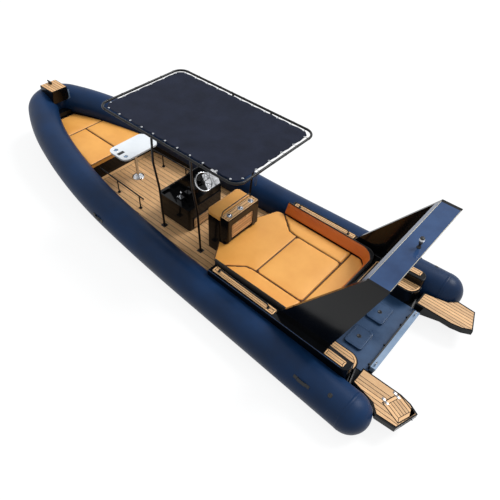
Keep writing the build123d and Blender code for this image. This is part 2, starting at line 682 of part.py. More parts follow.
# Swim platforms, the port one with a folding lid over its stowed ladder
platform_low = platform_z - platform_thick
platform = prism(platform_outline, platform_low, platform_z)
platform += block((transom_x + 30, platform_outline[0][0]), platform_root, (hull_top, platform_low + 1))
gusset_view = [(transom_x + 90, platform_low - gusset_drop), (transom_x + 90, platform_low + 1),
               (transom_x - gusset_reach, platform_low + 1), (transom_x - gusset_reach, platform_low - 8)]
for y in gusset_places:
    platform += side_prism(gusset_view, y, y + gusset_thick)
platform -= collar_room + hull
lid_turn = Pos(*lid_centre, 0) * Rot(0, 0, -lid_angle)
lid_half, lid_side = lid_size[0] / 2, lid_size[1] / 2
lid_room = lid_turn * block((-lid_half - move_gap, lid_half + move_gap), (-lid_side - move_gap, lid_side + move_gap),
                            (platform_z - lid_depth - move_gap, 2000))
slot_half = ladder_half + ladder_tube / 2 + 8
ladder_slot = lid_turn * block((-900, lid_half + move_gap), (-slot_half, slot_half),
                               (platform_z - ladder_depth, platform_z - lid_depth))
save("platform_port", platform - lid_room - ladder_slot)
save("platform_starboard", mirrored(platform))
# The lid's forward edge is bevelled under its hinges, so that it swings clear of the platform
lid_side_view = [(-lid_half, platform_z - lid_depth), (lid_half - lid_depth - teak, platform_z - lid_depth),
                 (lid_half, platform_z + teak), (-lid_half, platform_z + teak)]
save("ladder_lid", lid_turn * side_prism(lid_side_view, -lid_side, lid_side))
ladder_r = ladder_tube / 2
ladder_z = platform_z - ladder_depth + ladder_r
stringer_x = (-lid_half - 48, lid_half - 25)
ladder = []
for side in (-1, 1):
    stringer = Rot(0, 90, 0) * Cylinder(ladder_r, stringer_x[1] - stringer_x[0])
    ladder.append(Pos(sum(stringer_x) / 2, side * ladder_half, ladder_z) * stringer)
for share in (0.2, 0.5, 0.8):
    x = stringer_x[0] + share * (stringer_x[1] - stringer_x[0])
    ladder.append(Pos(x, 0, ladder_z) * Box(36, 2 * ladder_half, 14))
save("boarding_ladder", lid_turn * (ladder[0] + ladder[1] + ladder[2] + ladder[3] + ladder[4]))

# Teak on the platforms stops short of the black rim
rim = platform_rim
teak_outline = [(20, 815 + rim), (-585, 815 + rim), (-750, 850 + rim), (-880, 945), (-768, 1290), (-475, 1310),
                (-350, 1190), (20, 1100)]
platform_teak = prism(teak_outline, platform_z, platform_z + teak) - make_collar(move_gap + rim)
save("platform_teak", Compound([platform_teak - lid_room, mirrored(platform_teak)]))

# Arch: two raked side plates and the wide flat beam between their tops
def plate_section(x, y, z):
    return Pos((x[0] + x[1]) / 2, y, z) * Rectangle(x[1] - x[0], arch_thick)


leg = loft([plate_section(arch_foot_x, arch_foot_y, side_deck_z),
            plate_section(arch_top_x, arch_top_y, arch_top_z)], ruled=True)
save("arch_leg_port", leg)
save("arch_leg_starboard", mirrored(leg))
arch_height = arch_top_z - side_deck_z
share = beam_thick / arch_height
low_x = [top + share * (foot - top) for top, foot in zip(arch_top_x, arch_foot_x)]
beam_profile = [(low_x[0], arch_top_z - beam_thick), (low_x[1], arch_top_z - beam_thick),
                (arch_top_x[1], arch_top_z), (arch_top_x[0], arch_top_z)]
beam = side_prism(beam_profile, -arch_top_y, arch_top_y) - leg - mirrored(leg)
save("arch_beam", beam)
light_x, light_y = nav_light
light = Cylinder(26, 12) + Pos(0, 0, 45) * Cylinder(20, 90) + Pos(0, 0, 95) * Cylinder(26, 30)
light += Pos(0, 0, 140) * Cylinder(34, 60)
save("nav_light", Pos(light_x, light_y, arch_top_z + 6) * light)

# Canopy: closed tube frame on four bent legs, with the cloth inside it
x0, x1 = canopy_x
r = canopy_tube / 2
half_frame = tube_run([(x0, 0, canopy_z), (x0, canopy_half, canopy_z), (x1, canopy_half, canopy_z), (x1, 0, canopy_z)],
                      r, canopy_corner)
canopy_frame = half_frame + mirrored(half_frame)
save("canopy_frame", canopy_frame)
lace = canopy_lace
cloth = Pos((x0 + x1) / 2, 0, canopy_z) * Box(x1 - x0 - 2 * lace, 2 * (canopy_half - lace), canopy_cloth)
save("canopy_cloth", rounded(cloth, Axis.Z, canopy_corner - lace))
legs = []
for foot_x, foot_y, top_x in canopy_legs:
    top_y = canopy_half
    knee = (foot_x - 0.15 * (foot_x - top_x), foot_y + 0.2 * (top_y - foot_y), 1150)
    bend = (foot_x - 0.55 * (foot_x - top_x), top_y - 0.25 * (top_y - foot_y), 1850)
    tube = tube_run([(foot_x, foot_y, sole_z + 4), knee, bend, (top_x, top_y, canopy_z)], leg_tube / 2, 700)
    tube += Pos(foot_x, foot_y, sole_z + 5) * Box(100, 100, 10)
    legs += [tube - canopy_frame, mirrored(tube - canopy_frame)]
save("canopy_legs", Compound(legs))

# Towing eyes: one on the stem, two standing on the transom cap
(stem_x0, stem_z0, _, _), (stem_x1, stem_z1, _, _) = [row for row in stations if 8350 < row[0] < 8750]
stem_z = stem_z0 + (bow_eye_x - stem_x0) * (stem_z1 - stem_z0) / (stem_x1 - stem_x0)
stem_fall = degrees(atan((stem_x1 - stem_x0) / (stem_z1 - stem_z0)))
eye_stand = 2.6 * eye_radius
bow_eye = Pos(bow_eye_x, 0, stem_z) * Rot(0, stem_fall, 0) * Pos(eye_stand, 0, 0) * lug(eye_thick)
stern_x, stern_y = stern_eye
stern_eye_solid = Pos(stern_x, stern_y, transom_cap_z) * Rot(0, 0, 90) * Rot(0, -90, 0) * Pos(eye_stand, 0, 0) * lug(eye_thick)
save("towing_eyes", Compound([bow_eye - hull, stern_eye_solid - cap, mirrored(stern_eye_solid - cap)]))
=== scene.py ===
import json
import math
import random

import bmesh
import bpy
from mathutils import Matrix, Vector
from mathutils.bvhtree import BVHTree


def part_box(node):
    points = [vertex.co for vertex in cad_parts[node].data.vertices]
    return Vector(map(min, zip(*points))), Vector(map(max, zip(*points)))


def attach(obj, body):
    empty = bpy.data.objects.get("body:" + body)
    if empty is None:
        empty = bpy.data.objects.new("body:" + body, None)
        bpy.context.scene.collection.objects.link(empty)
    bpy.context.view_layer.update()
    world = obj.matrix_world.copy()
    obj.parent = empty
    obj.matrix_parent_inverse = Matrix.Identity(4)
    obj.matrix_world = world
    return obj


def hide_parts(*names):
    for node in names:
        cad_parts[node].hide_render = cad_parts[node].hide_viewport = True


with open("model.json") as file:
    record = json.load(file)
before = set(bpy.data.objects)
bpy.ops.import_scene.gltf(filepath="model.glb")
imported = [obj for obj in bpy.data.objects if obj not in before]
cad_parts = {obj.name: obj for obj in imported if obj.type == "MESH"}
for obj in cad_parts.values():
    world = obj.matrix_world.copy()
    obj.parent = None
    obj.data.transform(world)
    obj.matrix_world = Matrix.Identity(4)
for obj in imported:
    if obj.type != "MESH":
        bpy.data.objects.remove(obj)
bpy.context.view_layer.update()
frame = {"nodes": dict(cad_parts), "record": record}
nodes = frame["nodes"]
BODY_OF = {node: body for body, names in frame["record"]["behaviour"]["bodies"].items() for node in names}

# The photograph's viewpoint, in metres and degrees
CAMERA_PLACE = (-0.974, 4.961, 6.698)
CAMERA_HEADING = 51.77      # from the bow towards starboard
CAMERA_PITCH = 45.97        # down
CAMERA_ROLL = 3.71
CAMERA_LENS = 35.67         # millimetres, on a 36 mm sensor

SUN_PLACE = (-0.25, -0.62, 0.8)     # towards the sun: starboard, a little aft
SUN_STRENGTH = 2.2
SUN_WIDTH = 22              # degrees

# Teak decking
CAULK = 0.009
PLANK_LIFT = 0.0015
PLANK_EDGE = 0.0007
CUP_HOLE_RADIUS = 0.0405
LADDER_LID_TURN = 21        # degrees, outwards going aft

# Collar: the tube's aft end on the port side, and how far each side closes in towards the bow
COLLAR_RADIUS = 0.31
COLLAR_END = (-0.17, 1.4825, 0.272)
COLLAR_TOE = 2.86           # degrees
VALVE_ANGLE = 62            # degrees up from level, on the outer side
BOW_PATCH = [(8.66, 0.16, 1.05), (8.60, -0.31, 1.08), (8.44, -0.22, 0.95), (8.49, 0.18, 0.93)]

# Cushions
AFT_PADS = ["aft_pad_aft", "aft_pad_centre", "aft_pad_forward", "aft_pad_port", "aft_pad_starboard"]
BOW_PADS = ["bow_pad_front", "bow_pad_port", "bow_pad_starboard"]
PIPING_RADIUS = 0.0055
CLOTH_FRAMES = 20

# Canopy
GROMMET_PITCH = 0.27
GROMMET_INSET = 0.018
CANOPY_SAG = 0.022
CANOPY_FEET = [(4.54, 0.63), (3.57, 0.64)]
FOOT_SCREW_OFFSET = 0.036
CORD_RADIUS = 0.0022

# Cockpit
SOLE_Z = 0.18
TABLE_MIDDLE = (6.04, 0.33)
TABLE_CUP_X = (5.8888, 6.1912)
PEDESTAL_FOOT = (6.04, 0, SOLE_Z)

# Wheel
WHEEL_CENTRE = Vector((4.08, 0.01, 1.12))
WHEEL_AXIS = Vector((-1, 0, 1)).normalized()
WHEEL_RADIUS = 0.172
WHEEL_RIM = 0.013
WHEEL_SPOKES = 8

# Dash: its face, and the gauges as (share of its height, share of its width, radius)
DASH_LOW = Vector((4.085, 0, 0.82))
DASH_HIGH = Vector((4.25, 0, 1.15))
DASH_FACE_Y = (-0.425, -0.095)
GAUGES = [(0.66, -0.27, 0.045), (0.66, 0.27, 0.045), (0.3, -0.33, 0.022), (0.3, 0, 0.022),
          (0.3, 0.33, 0.022)]
GAUGE_TICKS = 11

# Stern
BEAM_TOP_X = (0.03, 0.34)
# Outer edge of each side deck, along which the painted highlight lines run
DECK_EDGE = [(0.24, 1.226, 0.656), (2.84, 1.179, 0.656)]
WELL_KNOB_Y = (-0.56, -0.36, 0.16, 0.62)
LID_HINGE_REACH = 0.165     # from the ladder lid's middle to its hinge line
LID_HINGE_SPREAD = 0.1
LEAF_HINGE_SHARES = (0.3, 0.78)


# Small helpers
def srgb(r, g, b):
    """Linear colour of a colour given as 0-255 screen values."""
    linear = [(c / 255 / 12.92) if c <= 10 else ((c / 255 + 0.055) / 1.055) ** 2.4 for c in (r, g, b)]
    return (*linear, 1)


def corners_of(name):
    """Lowest and highest corner of a CAD node."""
    return [Vector(corner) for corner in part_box(name)]


def round_angles(count):
    return [2 * math.pi * k / count for k in range(count)]


def make_object(name, mesh, *materials):
    obj = bpy.data.objects.new(name, mesh)
    bpy.context.scene.collection.objects.link(obj)
    for material in materials:
        mesh.materials.append(material)
    return obj


def mesh_of(bm, name, smooth=True):
    """Mesh of what has been built, which is freed."""
    mesh = bpy.data.meshes.new(name)
    for face in bm.faces:
        face.smooth = smooth
    bm.to_mesh(mesh)
    bm.free()
    return mesh


def fitted(obj, body="boat", stands_for=()):
    """Declares a finished piece."""
    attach(obj, body)
    if stands_for:
        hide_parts(*stands_for)
    return obj


def finished(name, bm, material, body="boat", stands_for=(), smooth=True):
    """One mesh of one finish, declared as it stands."""
    return fitted(make_object(name, mesh_of(bm, name, smooth), material), body, stands_for)


def evaluated(obj):
    """Replaces an object's mesh by its evaluated one and drops the modifiers."""
    depsgraph = bpy.context.evaluated_depsgraph_get()
    mesh = bpy.data.meshes.new_from_object(obj.evaluated_get(depsgraph))
    obj.modifiers.clear()
    obj.data = mesh
    return obj


def merged_copy(node):
    """A CAD node's shape with its loose triangles joined into clean flat faces."""
    bm = bmesh.new()
    bm.from_mesh(nodes[node].data)
    bmesh.ops.remove_doubles(bm, verts=bm.verts, dist=0.00005)
    bmesh.ops.dissolve_limit(bm, angle_limit=0.01, verts=bm.verts, edges=bm.edges)
    return bm


def add_tube(bm, points, radius, sides=8, closed=False):
    """Round tube through points, with even turning of its rings."""
    points = [Vector(p) for p in points]
    count = len(points)
    rings = []
    normal = None
    for i, point in enumerate(points):
        before = points[i - 1] if closed or i else point
        after = points[(i + 1) % count] if closed or i < count - 1 else point
        heading = (after - before).normalized()
        if normal is None:
            normal = heading.orthogonal().normalized()
        normal = (normal - heading * normal.dot(heading)).normalized()
        side = heading.cross(normal)
        rings.append([bm.verts.new(point + radius * (math.cos(a) * normal + math.sin(a) * side))
                      for a in round_angles(sides)])
    pairs = list(zip(rings, rings[1:]))
    if closed:
        first, last = rings[0], rings[-1]
        turn = min(range(sides), key=lambda k: (first[k].co - last[0].co).length)
        pairs.append((last, first[turn:] + first[:turn]))
    for low, high in pairs:
        for k in range(sides):
            bm.faces.new((low[k], low[(k + 1) % sides], high[(k + 1) % sides], high[k]))
    if not closed:
        bm.faces.new(list(reversed(rings[0])))
        bm.faces.new(rings[-1])


def add_lathe(bm, centre, axis, profile, sides=24):
    """Turned shape: profile of (radius, height along the axis) pairs, closed at radius 0."""
    axis = Vector(axis).normalized()
    across = axis.orthogonal().normalized()
    other = axis.cross(across)
    centre = Vector(centre)
    rings = []
    for radius, height in profile:
        if radius == 0:
            rings.append([bm.verts.new(centre + axis * height)])
            continue
        rings.append([])
        for a in round_angles(sides):
            out = math.cos(a) * across + math.sin(a) * other
            rings[-1].append(bm.verts.new(centre + axis * height + radius * out))
    for low, high in zip(rings, rings[1:]):
        for k in range(sides):
            n = k + 1
            quad = [low[k % len(low)], low[n % len(low)], high[n % len(high)], high[k % len(high)]]
            corners = list(dict.fromkeys(quad))
            if len(corners) > 2:
                bm.faces.new(corners)


def add_block(bm, centre, size, bevel=0.0):
    """Upright box, with softened edges if a bevel is given."""
    made = bmesh.ops.create_cube(bm, size=1, matrix=Matrix.Translation(centre) @ Matrix.Diagonal((*size, 1)))
    if bevel:
        edges = list(dict.fromkeys(edge for vert in made["verts"] for edge in vert.link_edges))
        bmesh.ops.bevel(bm, geom=edges, offset=bevel, segments=2, profile=0.5, affect="EDGES")


# Materials
def base_material(name, colour, roughness, metallic=0.0, coat=0.0):
    material = bpy.data.materials.new(name)
    material.use_nodes = True
    tree = material.node_tree
    shader = tree.nodes["Principled BSDF"]
    shader.inputs["Base Color"].default_value = colour
    shader.inputs["Roughness"].default_value = roughness
    shader.inputs["Metallic"].default_value = metallic
    if coat:
        shader.inputs["Coat Weight"].default_value = coat
        shader.inputs["Coat Roughness"].default_value = 0.04
    return material, tree, shader


def node(tree, kind, values=(), **settings):
    """New shader or geometry node with its inputs and settings given."""
    made = tree.nodes.new(kind)
    for key, value in settings.items():
        setattr(made, key, value)
    for socket, value in dict(values).items():
        made.inputs[socket].default_value = value
    return made


def wire(tree, *pairs):
    for out, into in pairs:
        tree.links.new(out, into)


def colour_by_noise(tree, shader, dark, light, scale, roughness=None):
    """Mottles the base colour, and the roughness if a (low, high) pair is given."""
    place = node(tree, "ShaderNodeTexCoord")
    mapping = node(tree, "ShaderNodeMapping")
    noise = node(tree, "ShaderNodeTexNoise", {"Scale": scale, "Detail": 6.0, "Roughness": 0.6})
    ramp = node(tree, "ShaderNodeValToRGB")
    ramp.color_ramp.elements[0].position = 0.3
    ramp.color_ramp.elements[0].color = dark
    ramp.color_ramp.elements[1].position = 0.7
    ramp.color_ramp.elements[1].color = light
    wire(tree, (place.outputs["Object"], mapping.inputs["Vector"]),
         (mapping.outputs[0], noise.inputs["Vector"]), (noise.outputs["Fac"], ramp.inputs["Fac"]),
         (ramp.outputs["Color"], shader.inputs["Base Color"]))
    if roughness:
        spread = node(tree, "ShaderNodeMapRange", {"From Min": 0.3, "From Max": 0.7,
                                                   "To Min": roughness[0], "To Max": roughness[1]})
        wire(tree, (noise.outputs["Fac"], spread.inputs["Value"]),
             (spread.outputs["Result"], shader.inputs["Roughness"]))
    return mapping, noise


def bump_from(tree, shader, height, strength, distance):
    bump = node(tree, "ShaderNodeBump", {"Strength": strength, "Distance": distance})
    wire(tree, (height, bump.inputs["Height"]), (bump.outputs["Normal"], shader.inputs["Normal"]))


def coated_fabric():
    """The collar's fabric, a fine weave under its coating."""
    material, tree, shader = base_material("collar_fabric", srgb(12, 44, 82), 0.42)
    shader.inputs["Specular IOR Level"].default_value = 0.18
    mapping, _ = colour_by_noise(tree, shader, srgb(9, 33, 62), srgb(14, 46, 84), 1.3, roughness=(0.38, 0.5))
    weave = node(tree, "ShaderNodeTexNoise", {"Scale": 420.0, "Detail": 3.0})
    wire(tree, (mapping.outputs[0], weave.inputs["Vector"]))
    bump_from(tree, shader, weave.outputs["Fac"], 0.18, 0.0008)
    return material


def black_rubber():
    material, tree, shader = base_material("black_rubber", srgb(16, 18, 22), 0.5)
    _, noise = colour_by_noise(tree, shader, srgb(9, 10, 12), srgb(18, 20, 24), 60.0)
    bump_from(tree, shader, noise.outputs["Fac"], 0.2, 0.0006)
    return material


def gloss_moulding(name, dark, light, roughness, specular=0.5, scale=2.2):
    """Gelcoat or painted moulding, faintly mottled."""
    material, tree, shader = base_material(name, light, roughness)
    shader.inputs["Specular IOR Level"].default_value = specular
    spread = (roughness * 0.7, roughness * 1.6)
    _, noise = colour_by_noise(tree, shader, dark, light, scale, roughness=spread)
    bump_from(tree, shader, noise.outputs["Fac"], 0.04, 0.002)
    return material


def marine_vinyl(name, dark, light):
    """Grained upholstery vinyl."""
    material, tree, shader = base_material(name, light, 0.48)
    mapping, _ = colour_by_noise(tree, shader, dark, light, 1.6, roughness=(0.42, 0.56))
    grain = node(tree, "ShaderNodeTexVoronoi", {"Scale": 330.0}, feature="SMOOTH_F1")
    wire(tree, (mapping.outputs[0], grain.inputs["Vector"]))
    bump_from(tree, shader, grain.outputs["Distance"], 0.22, 0.0007)
    return material


def deck_teak():
    """Planks: tint by the plank, grain along it."""
    material, tree, shader = base_material("teak", srgb(205, 160, 110), 0.5)
    tint = node(tree, "ShaderNodeAttribute", attribute_name="plank_tint")
    grain_map = node(tree, "ShaderNodeUVMap", uv_map="grain")
    mapping = node(tree, "ShaderNodeMapping", {"Scale": (3.0, 55.0, 1.0)})
    grain = node(tree, "ShaderNodeTexNoise", {"Scale": 2.4, "Detail": 8.0, "Roughness": 0.65,
                                              "Distortion": 0.6})
    wood = node(tree, "ShaderNodeValToRGB")
    ends = wood.color_ramp.elements
    ends[0].position, ends[0].color = 0.25, srgb(190, 136, 86)
    ends[1].position, ends[1].color = 0.75, srgb(238, 196, 142)
    shade = node(tree, "ShaderNodeMapRange", {"To Min": 0.78, "To Max": 1.16})
    mix = node(tree, "ShaderNodeMix", data_type="RGBA", blend_type="MULTIPLY")
    mix.inputs["Factor"].default_value = 1.0
    wire(tree, (grain_map.outputs["UV"], mapping.inputs["Vector"]),
         (mapping.outputs[0], grain.inputs["Vector"]),
         (grain.outputs["Fac"], wood.inputs["Fac"]), (wood.outputs["Color"], mix.inputs["A"]),
         (tint.outputs["Fac"], shade.inputs["Value"]), (shade.outputs["Result"], mix.inputs["B"]),
         (mix.outputs["Result"], shader.inputs["Base Color"]))
    bump_from(tree, shader, grain.outputs["Fac"], 0.25, 0.0008)
    return material


def deck_caulk():
    material, tree, shader = base_material("caulk", srgb(30, 22, 18), 0.8)
    colour_by_noise(tree, shader, srgb(24, 18, 15), srgb(38, 29, 24), 40.0)
    return material


def coated_tube():
    material, tree, shader = base_material("black_tube", srgb(14, 15, 17), 0.3)
    shader.inputs["Specular IOR Level"].default_value = 0.25
    _, noise = colour_by_noise(tree, shader, srgb(10, 11, 13), srgb(18, 19, 22), 30.0, roughness=(0.25, 0.4))
    bump_from(tree, shader, noise.outputs["Fac"], 0.08, 0.0005)
    return material


def polished_steel():
    material, tree, shader = base_material("steel", srgb(205, 207, 210), 0.16, metallic=1.0)
    colour_by_noise(tree, shader, srgb(188, 190, 194), srgb(216, 218, 221), 18.0, roughness=(0.1, 0.26))
    return material


def smoked_screen():
    material, tree, shader = base_material("smoked_screen", srgb(70, 74, 78), 0.04)
    shader.inputs["Transmission Weight"].default_value = 0.9
    shader.inputs["IOR"].default_value = 1.1
    _, noise = colour_by_noise(tree, shader, srgb(62, 66, 70), srgb(84, 88, 92), 3.0)
    bump_from(tree, shader, noise.outputs["Fac"], 0.02, 0.001)
    return material


def canopy_canvas():
    """Woven cloth: two crossed sets of threads."""
    material, tree, shader = base_material("canopy_canvas", srgb(26, 31, 46), 0.9)
    shader.inputs["Sheen Weight"].default_value = 0.04
    shader.inputs["Specular IOR Level"].default_value = 0.15
    mapping, _ = colour_by_noise(tree, shader, srgb(21, 25, 38), srgb(31, 36, 53), 2.5)
    threads = []
    for way in ("X", "Y"):
        wave = node(tree, "ShaderNodeTexWave", {"Scale": 190.0, "Distortion": 0.3}, bands_direction=way)
        wire(tree, (mapping.outputs[0], wave.inputs["Vector"]))
        threads.append(wave)
    weave = node(tree, "ShaderNodeMath", operation="MULTIPLY")
    wire(tree, (threads[0].outputs["Fac"], weave.inputs[0]), (threads[1].outputs["Fac"], weave.inputs[1]))
    bump_from(tree, shader, weave.outputs[0], 0.35, 0.001)
    return material


def pale_lens():
    material, tree, shader = base_material("lens", srgb(225, 228, 232), 0.18, coat=0.4)
    colour_by_noise(tree, shader, srgb(214, 218, 223), srgb(236, 238, 241), 25.0)
    return material


COLLAR = coated_fabric()
RUBBER = black_rubber()
GELCOAT = gloss_moulding("black_gelcoat", srgb(7, 8, 10), srgb(13, 15, 19), 0.12, 0.22)
# Painted sky reflection: the arch beam's dark gloss gelcoat is coloured the bright blue that the sky's
# reflection gives it. The side decks' edge lines reuse this blue as painted highlights.
PAINTED_SKY_BLUE = gloss_moulding("beam_gelcoat_painted_sky", srgb(28, 50, 86), srgb(58, 88, 132), 0.14, 0.3, scale=0.9)
# Partly painted sky reflection: the well's gelcoat is given a blue that stands for the sky reflected in it.
WELL = gloss_moulding("well_gelcoat_painted_sky", srgb(30, 52, 80), srgb(48, 76, 110), 0.3, 0.3)
# Painted highlight: the caps' gloss gelcoat is coloured the pale blue-grey of the sky's highlight on it. The
# table's cup wells reuse this colour.
CAP = gloss_moulding("cap_painted_highlight", srgb(108, 132, 160), srgb(136, 158, 184), 0.3, 0.4)
TABLE = gloss_moulding("table_white", srgb(222, 227, 232), srgb(236, 239, 243), 0.15)
TRIM = gloss_moulding("pale_trim", srgb(206, 196, 168), srgb(226, 218, 194), 0.3)
CUSHION = marine_vinyl("tan_vinyl", srgb(220, 152, 68), srgb(234, 169, 84))
BOLSTER = marine_vinyl("orange_vinyl", srgb(196, 96, 30), srgb(214, 116, 42))
PIPING = marine_vinyl("dark_piping", srgb(58, 34, 18), srgb(84, 52, 28))
TEAK = deck_teak()
CAULKING = deck_caulk()
TUBE = coated_tube()
STEEL = polished_steel()
SCREEN = smoked_screen()
CANVAS = canopy_canvas()
LENS = pale_lens()
PATCH = marine_vinyl("patch_fabric", srgb(62, 80, 100), srgb(78, 98, 120))

SLOT_MATERIALS = {"collar": COLLAR, "gelcoat": GELCOAT, "well": WELL, "cap": CAP, "teak": TEAK,
                  "cushion": CUSHION, "bolster": BOLSTER, "rail": TUBE, "steel": STEEL, "screen": SCREEN,
                  "table": TABLE, "cloth": CANVAS, "lamp": LENS}
OWN_MATERIALS = {"collar_handles": RUBBER, "arch_beam": PAINTED_SKY_BLUE}


def dress_cad_nodes():
    """Gives each CAD node its own finish, or else its slot's."""
    slots = {part["node"]: part["material_slot"] for part in frame["record"]["subparts"]}
    for name, obj in nodes.items():
        material = OWN_MATERIALS.get(name) or SLOT_MATERIALS[slots[name]]
        obj.data.materials.clear()
        obj.data.materials.append(material)


# Teak decking
def crossing(first, second):
    """Where two outline lines meet, each a (point, heading) pair."""
    turn = first[1].cross(second[1])
    if abs(turn) < 0.02:
        return second[0].copy()
    along = (second[0] - first[0]).cross(second[1]) / turn
    return first[0] + first[1] * along


def offset_loop(points, distance):
    """A flat outline moved inwards, without the edges that vanish."""
    lines = []
    for start, end in zip(points, points[1:] + points[:1]):
        if (end - start).length > 0.0002:
            heading = (end - start).normalized()
            lines.append((start + distance * Vector((-heading.y, heading.x)), heading))
    while len(lines) > 2:
        corners = [crossing(lines[i - 1], lines[i]) for i in range(len(lines))]
        runs = [(corners[(i + 1) % len(lines)] - corners[i]).dot(lines[i][1]) for i in range(len(lines))]
        worst = min(range(len(lines)), key=lambda i: runs[i])
        if runs[worst] > 0:
            return corners
        del lines[worst]
    return []


def panel_loops(bm):
    """Outlines of a panel's upper faces, in the mesh's own order."""
    top = max(vert.co.z for vert in bm.verts)
    level = [face for face in bm.faces if face.normal.z > 0.9]
    upper = dict.fromkeys(face for face in level if face.calc_center_median().z > top - 0.001)
    following = {}
    for face in upper:
        for loop in face.loops:
            if sum(other in upper for other in loop.edge.link_faces) == 1:
                following[loop.vert] = loop.link_loop_next.vert
    loops = []
    while following:
        vert = next(iter(following))
        points = []
        while vert in following:
            points.append(vert.co.xy.copy())
            vert = following.pop(vert)
        turned = sum(a.cross(b) for a, b in zip(points, points[1:] + points[:1]))
        loops.append(points if turned > 0 else points[::-1])
    return loops


def border_planks(outer, inner, sharp=22):
    """Mitred planks between an outline and the smaller one inside it."""
    count = len(inner)
    mitres = []
    for i in range(count):
        before = (inner[i] - inner[i - 1]).normalized()
        after = (inner[(i + 1) % count] - inner[i]).normalized()
        if before.angle(after) > math.radians(sharp):
            outward = (before - after).normalized()
            reach = max(0.01, min((point - inner[i]).length for point in outer))
            aim = inner[i] + outward * reach
            mitres.append((i, min(range(len(outer)), key=lambda k: (outer[k] - aim).length)))
    if len(mitres) < 2:
        return [outer + [outer[0]] + [inner[0]] + inner[:0:-1] + [inner[0]]]
    planks = []
    for (i0, k0), (i1, k1) in zip(mitres, mitres[1:] + mitres[:1]):
        rim = [outer[k % len(outer)] for k in range(k0, k1 + 1 if k1 > k0 else k1 + len(outer) + 1)]
        back = [inner[i % count] for i in range(i0, i1 + 1 if i1 > i0 else i1 + count + 1)]
        planks.append(rim + back[::-1])
    return planks


def strips_of(points, width):
    """An outline cut into planks along x."""
    bm = bmesh.new()
    bm.faces.new([bm.verts.new((x, y, 0)) for x, y in points])
    low = min(y for _, y in points)
    high = max(y for _, y in points)
    count = max(1, round((high - low) / width))
    for i in range(1, count):
        geometry = bm.verts[:] + bm.edges[:] + bm.faces[:]
        bmesh.ops.bisect_plane(bm, geom=geometry, dist=1e-5, plane_co=(0, low + (high - low) * i / count, 0),
                               plane_no=(0, 1, 0))
    strips = [[vert.co.xy.copy() for vert in face.verts] for face in bm.faces]
    bm.free()
    return strips


def add_prism(bm, rings, cap=True):
    """Walls between rings of equally many points, closed by the last one."""
    made = [[bm.verts.new(point) for point in ring] for ring in rings]
    faces = []
    for low, high in zip(made, made[1:]):
        for k in range(len(low)):
            n = (k + 1) % len(low)
            faces.append(bm.faces.new((low[k], low[n], high[n], high[k])))
    if cap:
        faces.append(bm.faces.new(made[-1]))
    return faces


def lay_planks(name, width, border, seed, facing=(0, 0, 1), along=(1, 0, 0), cut=None, shape=None):
    """Replaces a teak panel by mitred border planks round straight ones, on a caulked base."""
    up = Vector(facing)
    heading = Vector(along)
    turn = Matrix((heading, up.cross(heading), up)).to_4x4()
    panel = shape or merged_copy(name)
    panel.transform(turn)
    panel.normal_update()
    top = max(vert.co.z for vert in panel.verts)
    bottom = min(vert.co.z for vert in panel.verts)
    chance = random.Random(seed)
    bm = bmesh.new()
    tint = bm.faces.layers.float.new("plank_tint")
    grain = bm.loops.layers.uv.new("grain")
    for outline in panel_loops(panel):
        levels = [[(x, y, z) for x, y in outline] for z in (bottom, top - PLANK_LIFT)]
        for face in add_prism(bm, levels):
            face.material_index = 1
        inner = offset_loop(outline, border) if border else outline
        planks = [(plank, True) for plank in border_planks(outline, inner)] if border else []
        planks += [(plank, False) for plank in strips_of(inner, width)]
        for plank, is_border in planks:
            shrunk = offset_loop(plank, CAULK / 2)
            if not shrunk:
                continue
            softened = offset_loop(shrunk, PLANK_EDGE)
            if len(softened) != len(shrunk):
                softened = shrunk
            rings = [[(x, y, top - PLANK_LIFT) for x, y in shrunk],
                     [(x, y, top - 0.0005) for x, y in shrunk],
                     [(x, y, top) for x, y in softened]]
            runs = [(b - a, (b - a).length) for a, b in zip(shrunk, shrunk[1:] + shrunk[:1])]
            lead = max(runs, key=lambda run: run[1])[0].normalized() if is_border else Vector((1, 0))
            shift = (chance.uniform(0, 9), chance.uniform(0, 9))
            value = chance.uniform(0.55, 1.0) if is_border else chance.uniform(0.0, 0.75)
            for face in add_prism(bm, rings):
                face[tint] = value
                for loop in face.loops:
                    place = loop.vert.co.xy
                    loop[grain].uv = (place.dot(lead) + shift[0], place.cross(lead) + shift[1])
    panel.free()
    bm.transform(turn.inverted())
    obj = make_object(name + "_planks", mesh_of(bm, name + "_planks", smooth=False), TEAK, CAULKING)
    if cut:
        cut_round_holes(obj, cut)
    return fitted(obj, BODY_OF[name], [name])


def cut_round_holes(obj, holes):
    """Drills upright holes, each given as x, y and radius."""
    bm = bmesh.new()
    low = min(vert.co.z for vert in obj.data.vertices) - 0.05
    high = max(vert.co.z for vert in obj.data.vertices) + 0.05
    for x, y, radius in holes:
        add_lathe(bm, (x, y, 0), (0, 0, 1), [(0, low), (radius, low), (radius, high), (0, high)], 32)
    bmesh.ops.recalc_face_normals(bm, faces=bm.faces)
    cutter = make_object("hole_cutter", mesh_of(bm, "hole_cutter"))
    drill = obj.modifiers.new("drill", "BOOLEAN")
    drill.object = cutter
    drill.solver = "EXACT"
    evaluated(obj)
    bpy.data.objects.remove(cutter)


def cup_places():
    """Centres of the seat's cup holders, from their solids."""
    bm = merged_copy("cup_holders")
    places = []
    waiting = dict.fromkeys(bm.verts)
    while waiting:
        island, front = [], [waiting.popitem()[0]]
        while front:
            vert = front.pop()
            island.append(vert)
            for edge in vert.link_edges:
                other = edge.other_vert(vert)
                if other in waiting:
                    del waiting[other]
                    front.append(other)
        xs = [vert.co.x for vert in island]
        ys = [vert.co.y for vert in island]
        places.append(((min(xs) + max(xs)) / 2, (min(ys) + max(ys)) / 2))
    bm.free()
    return places


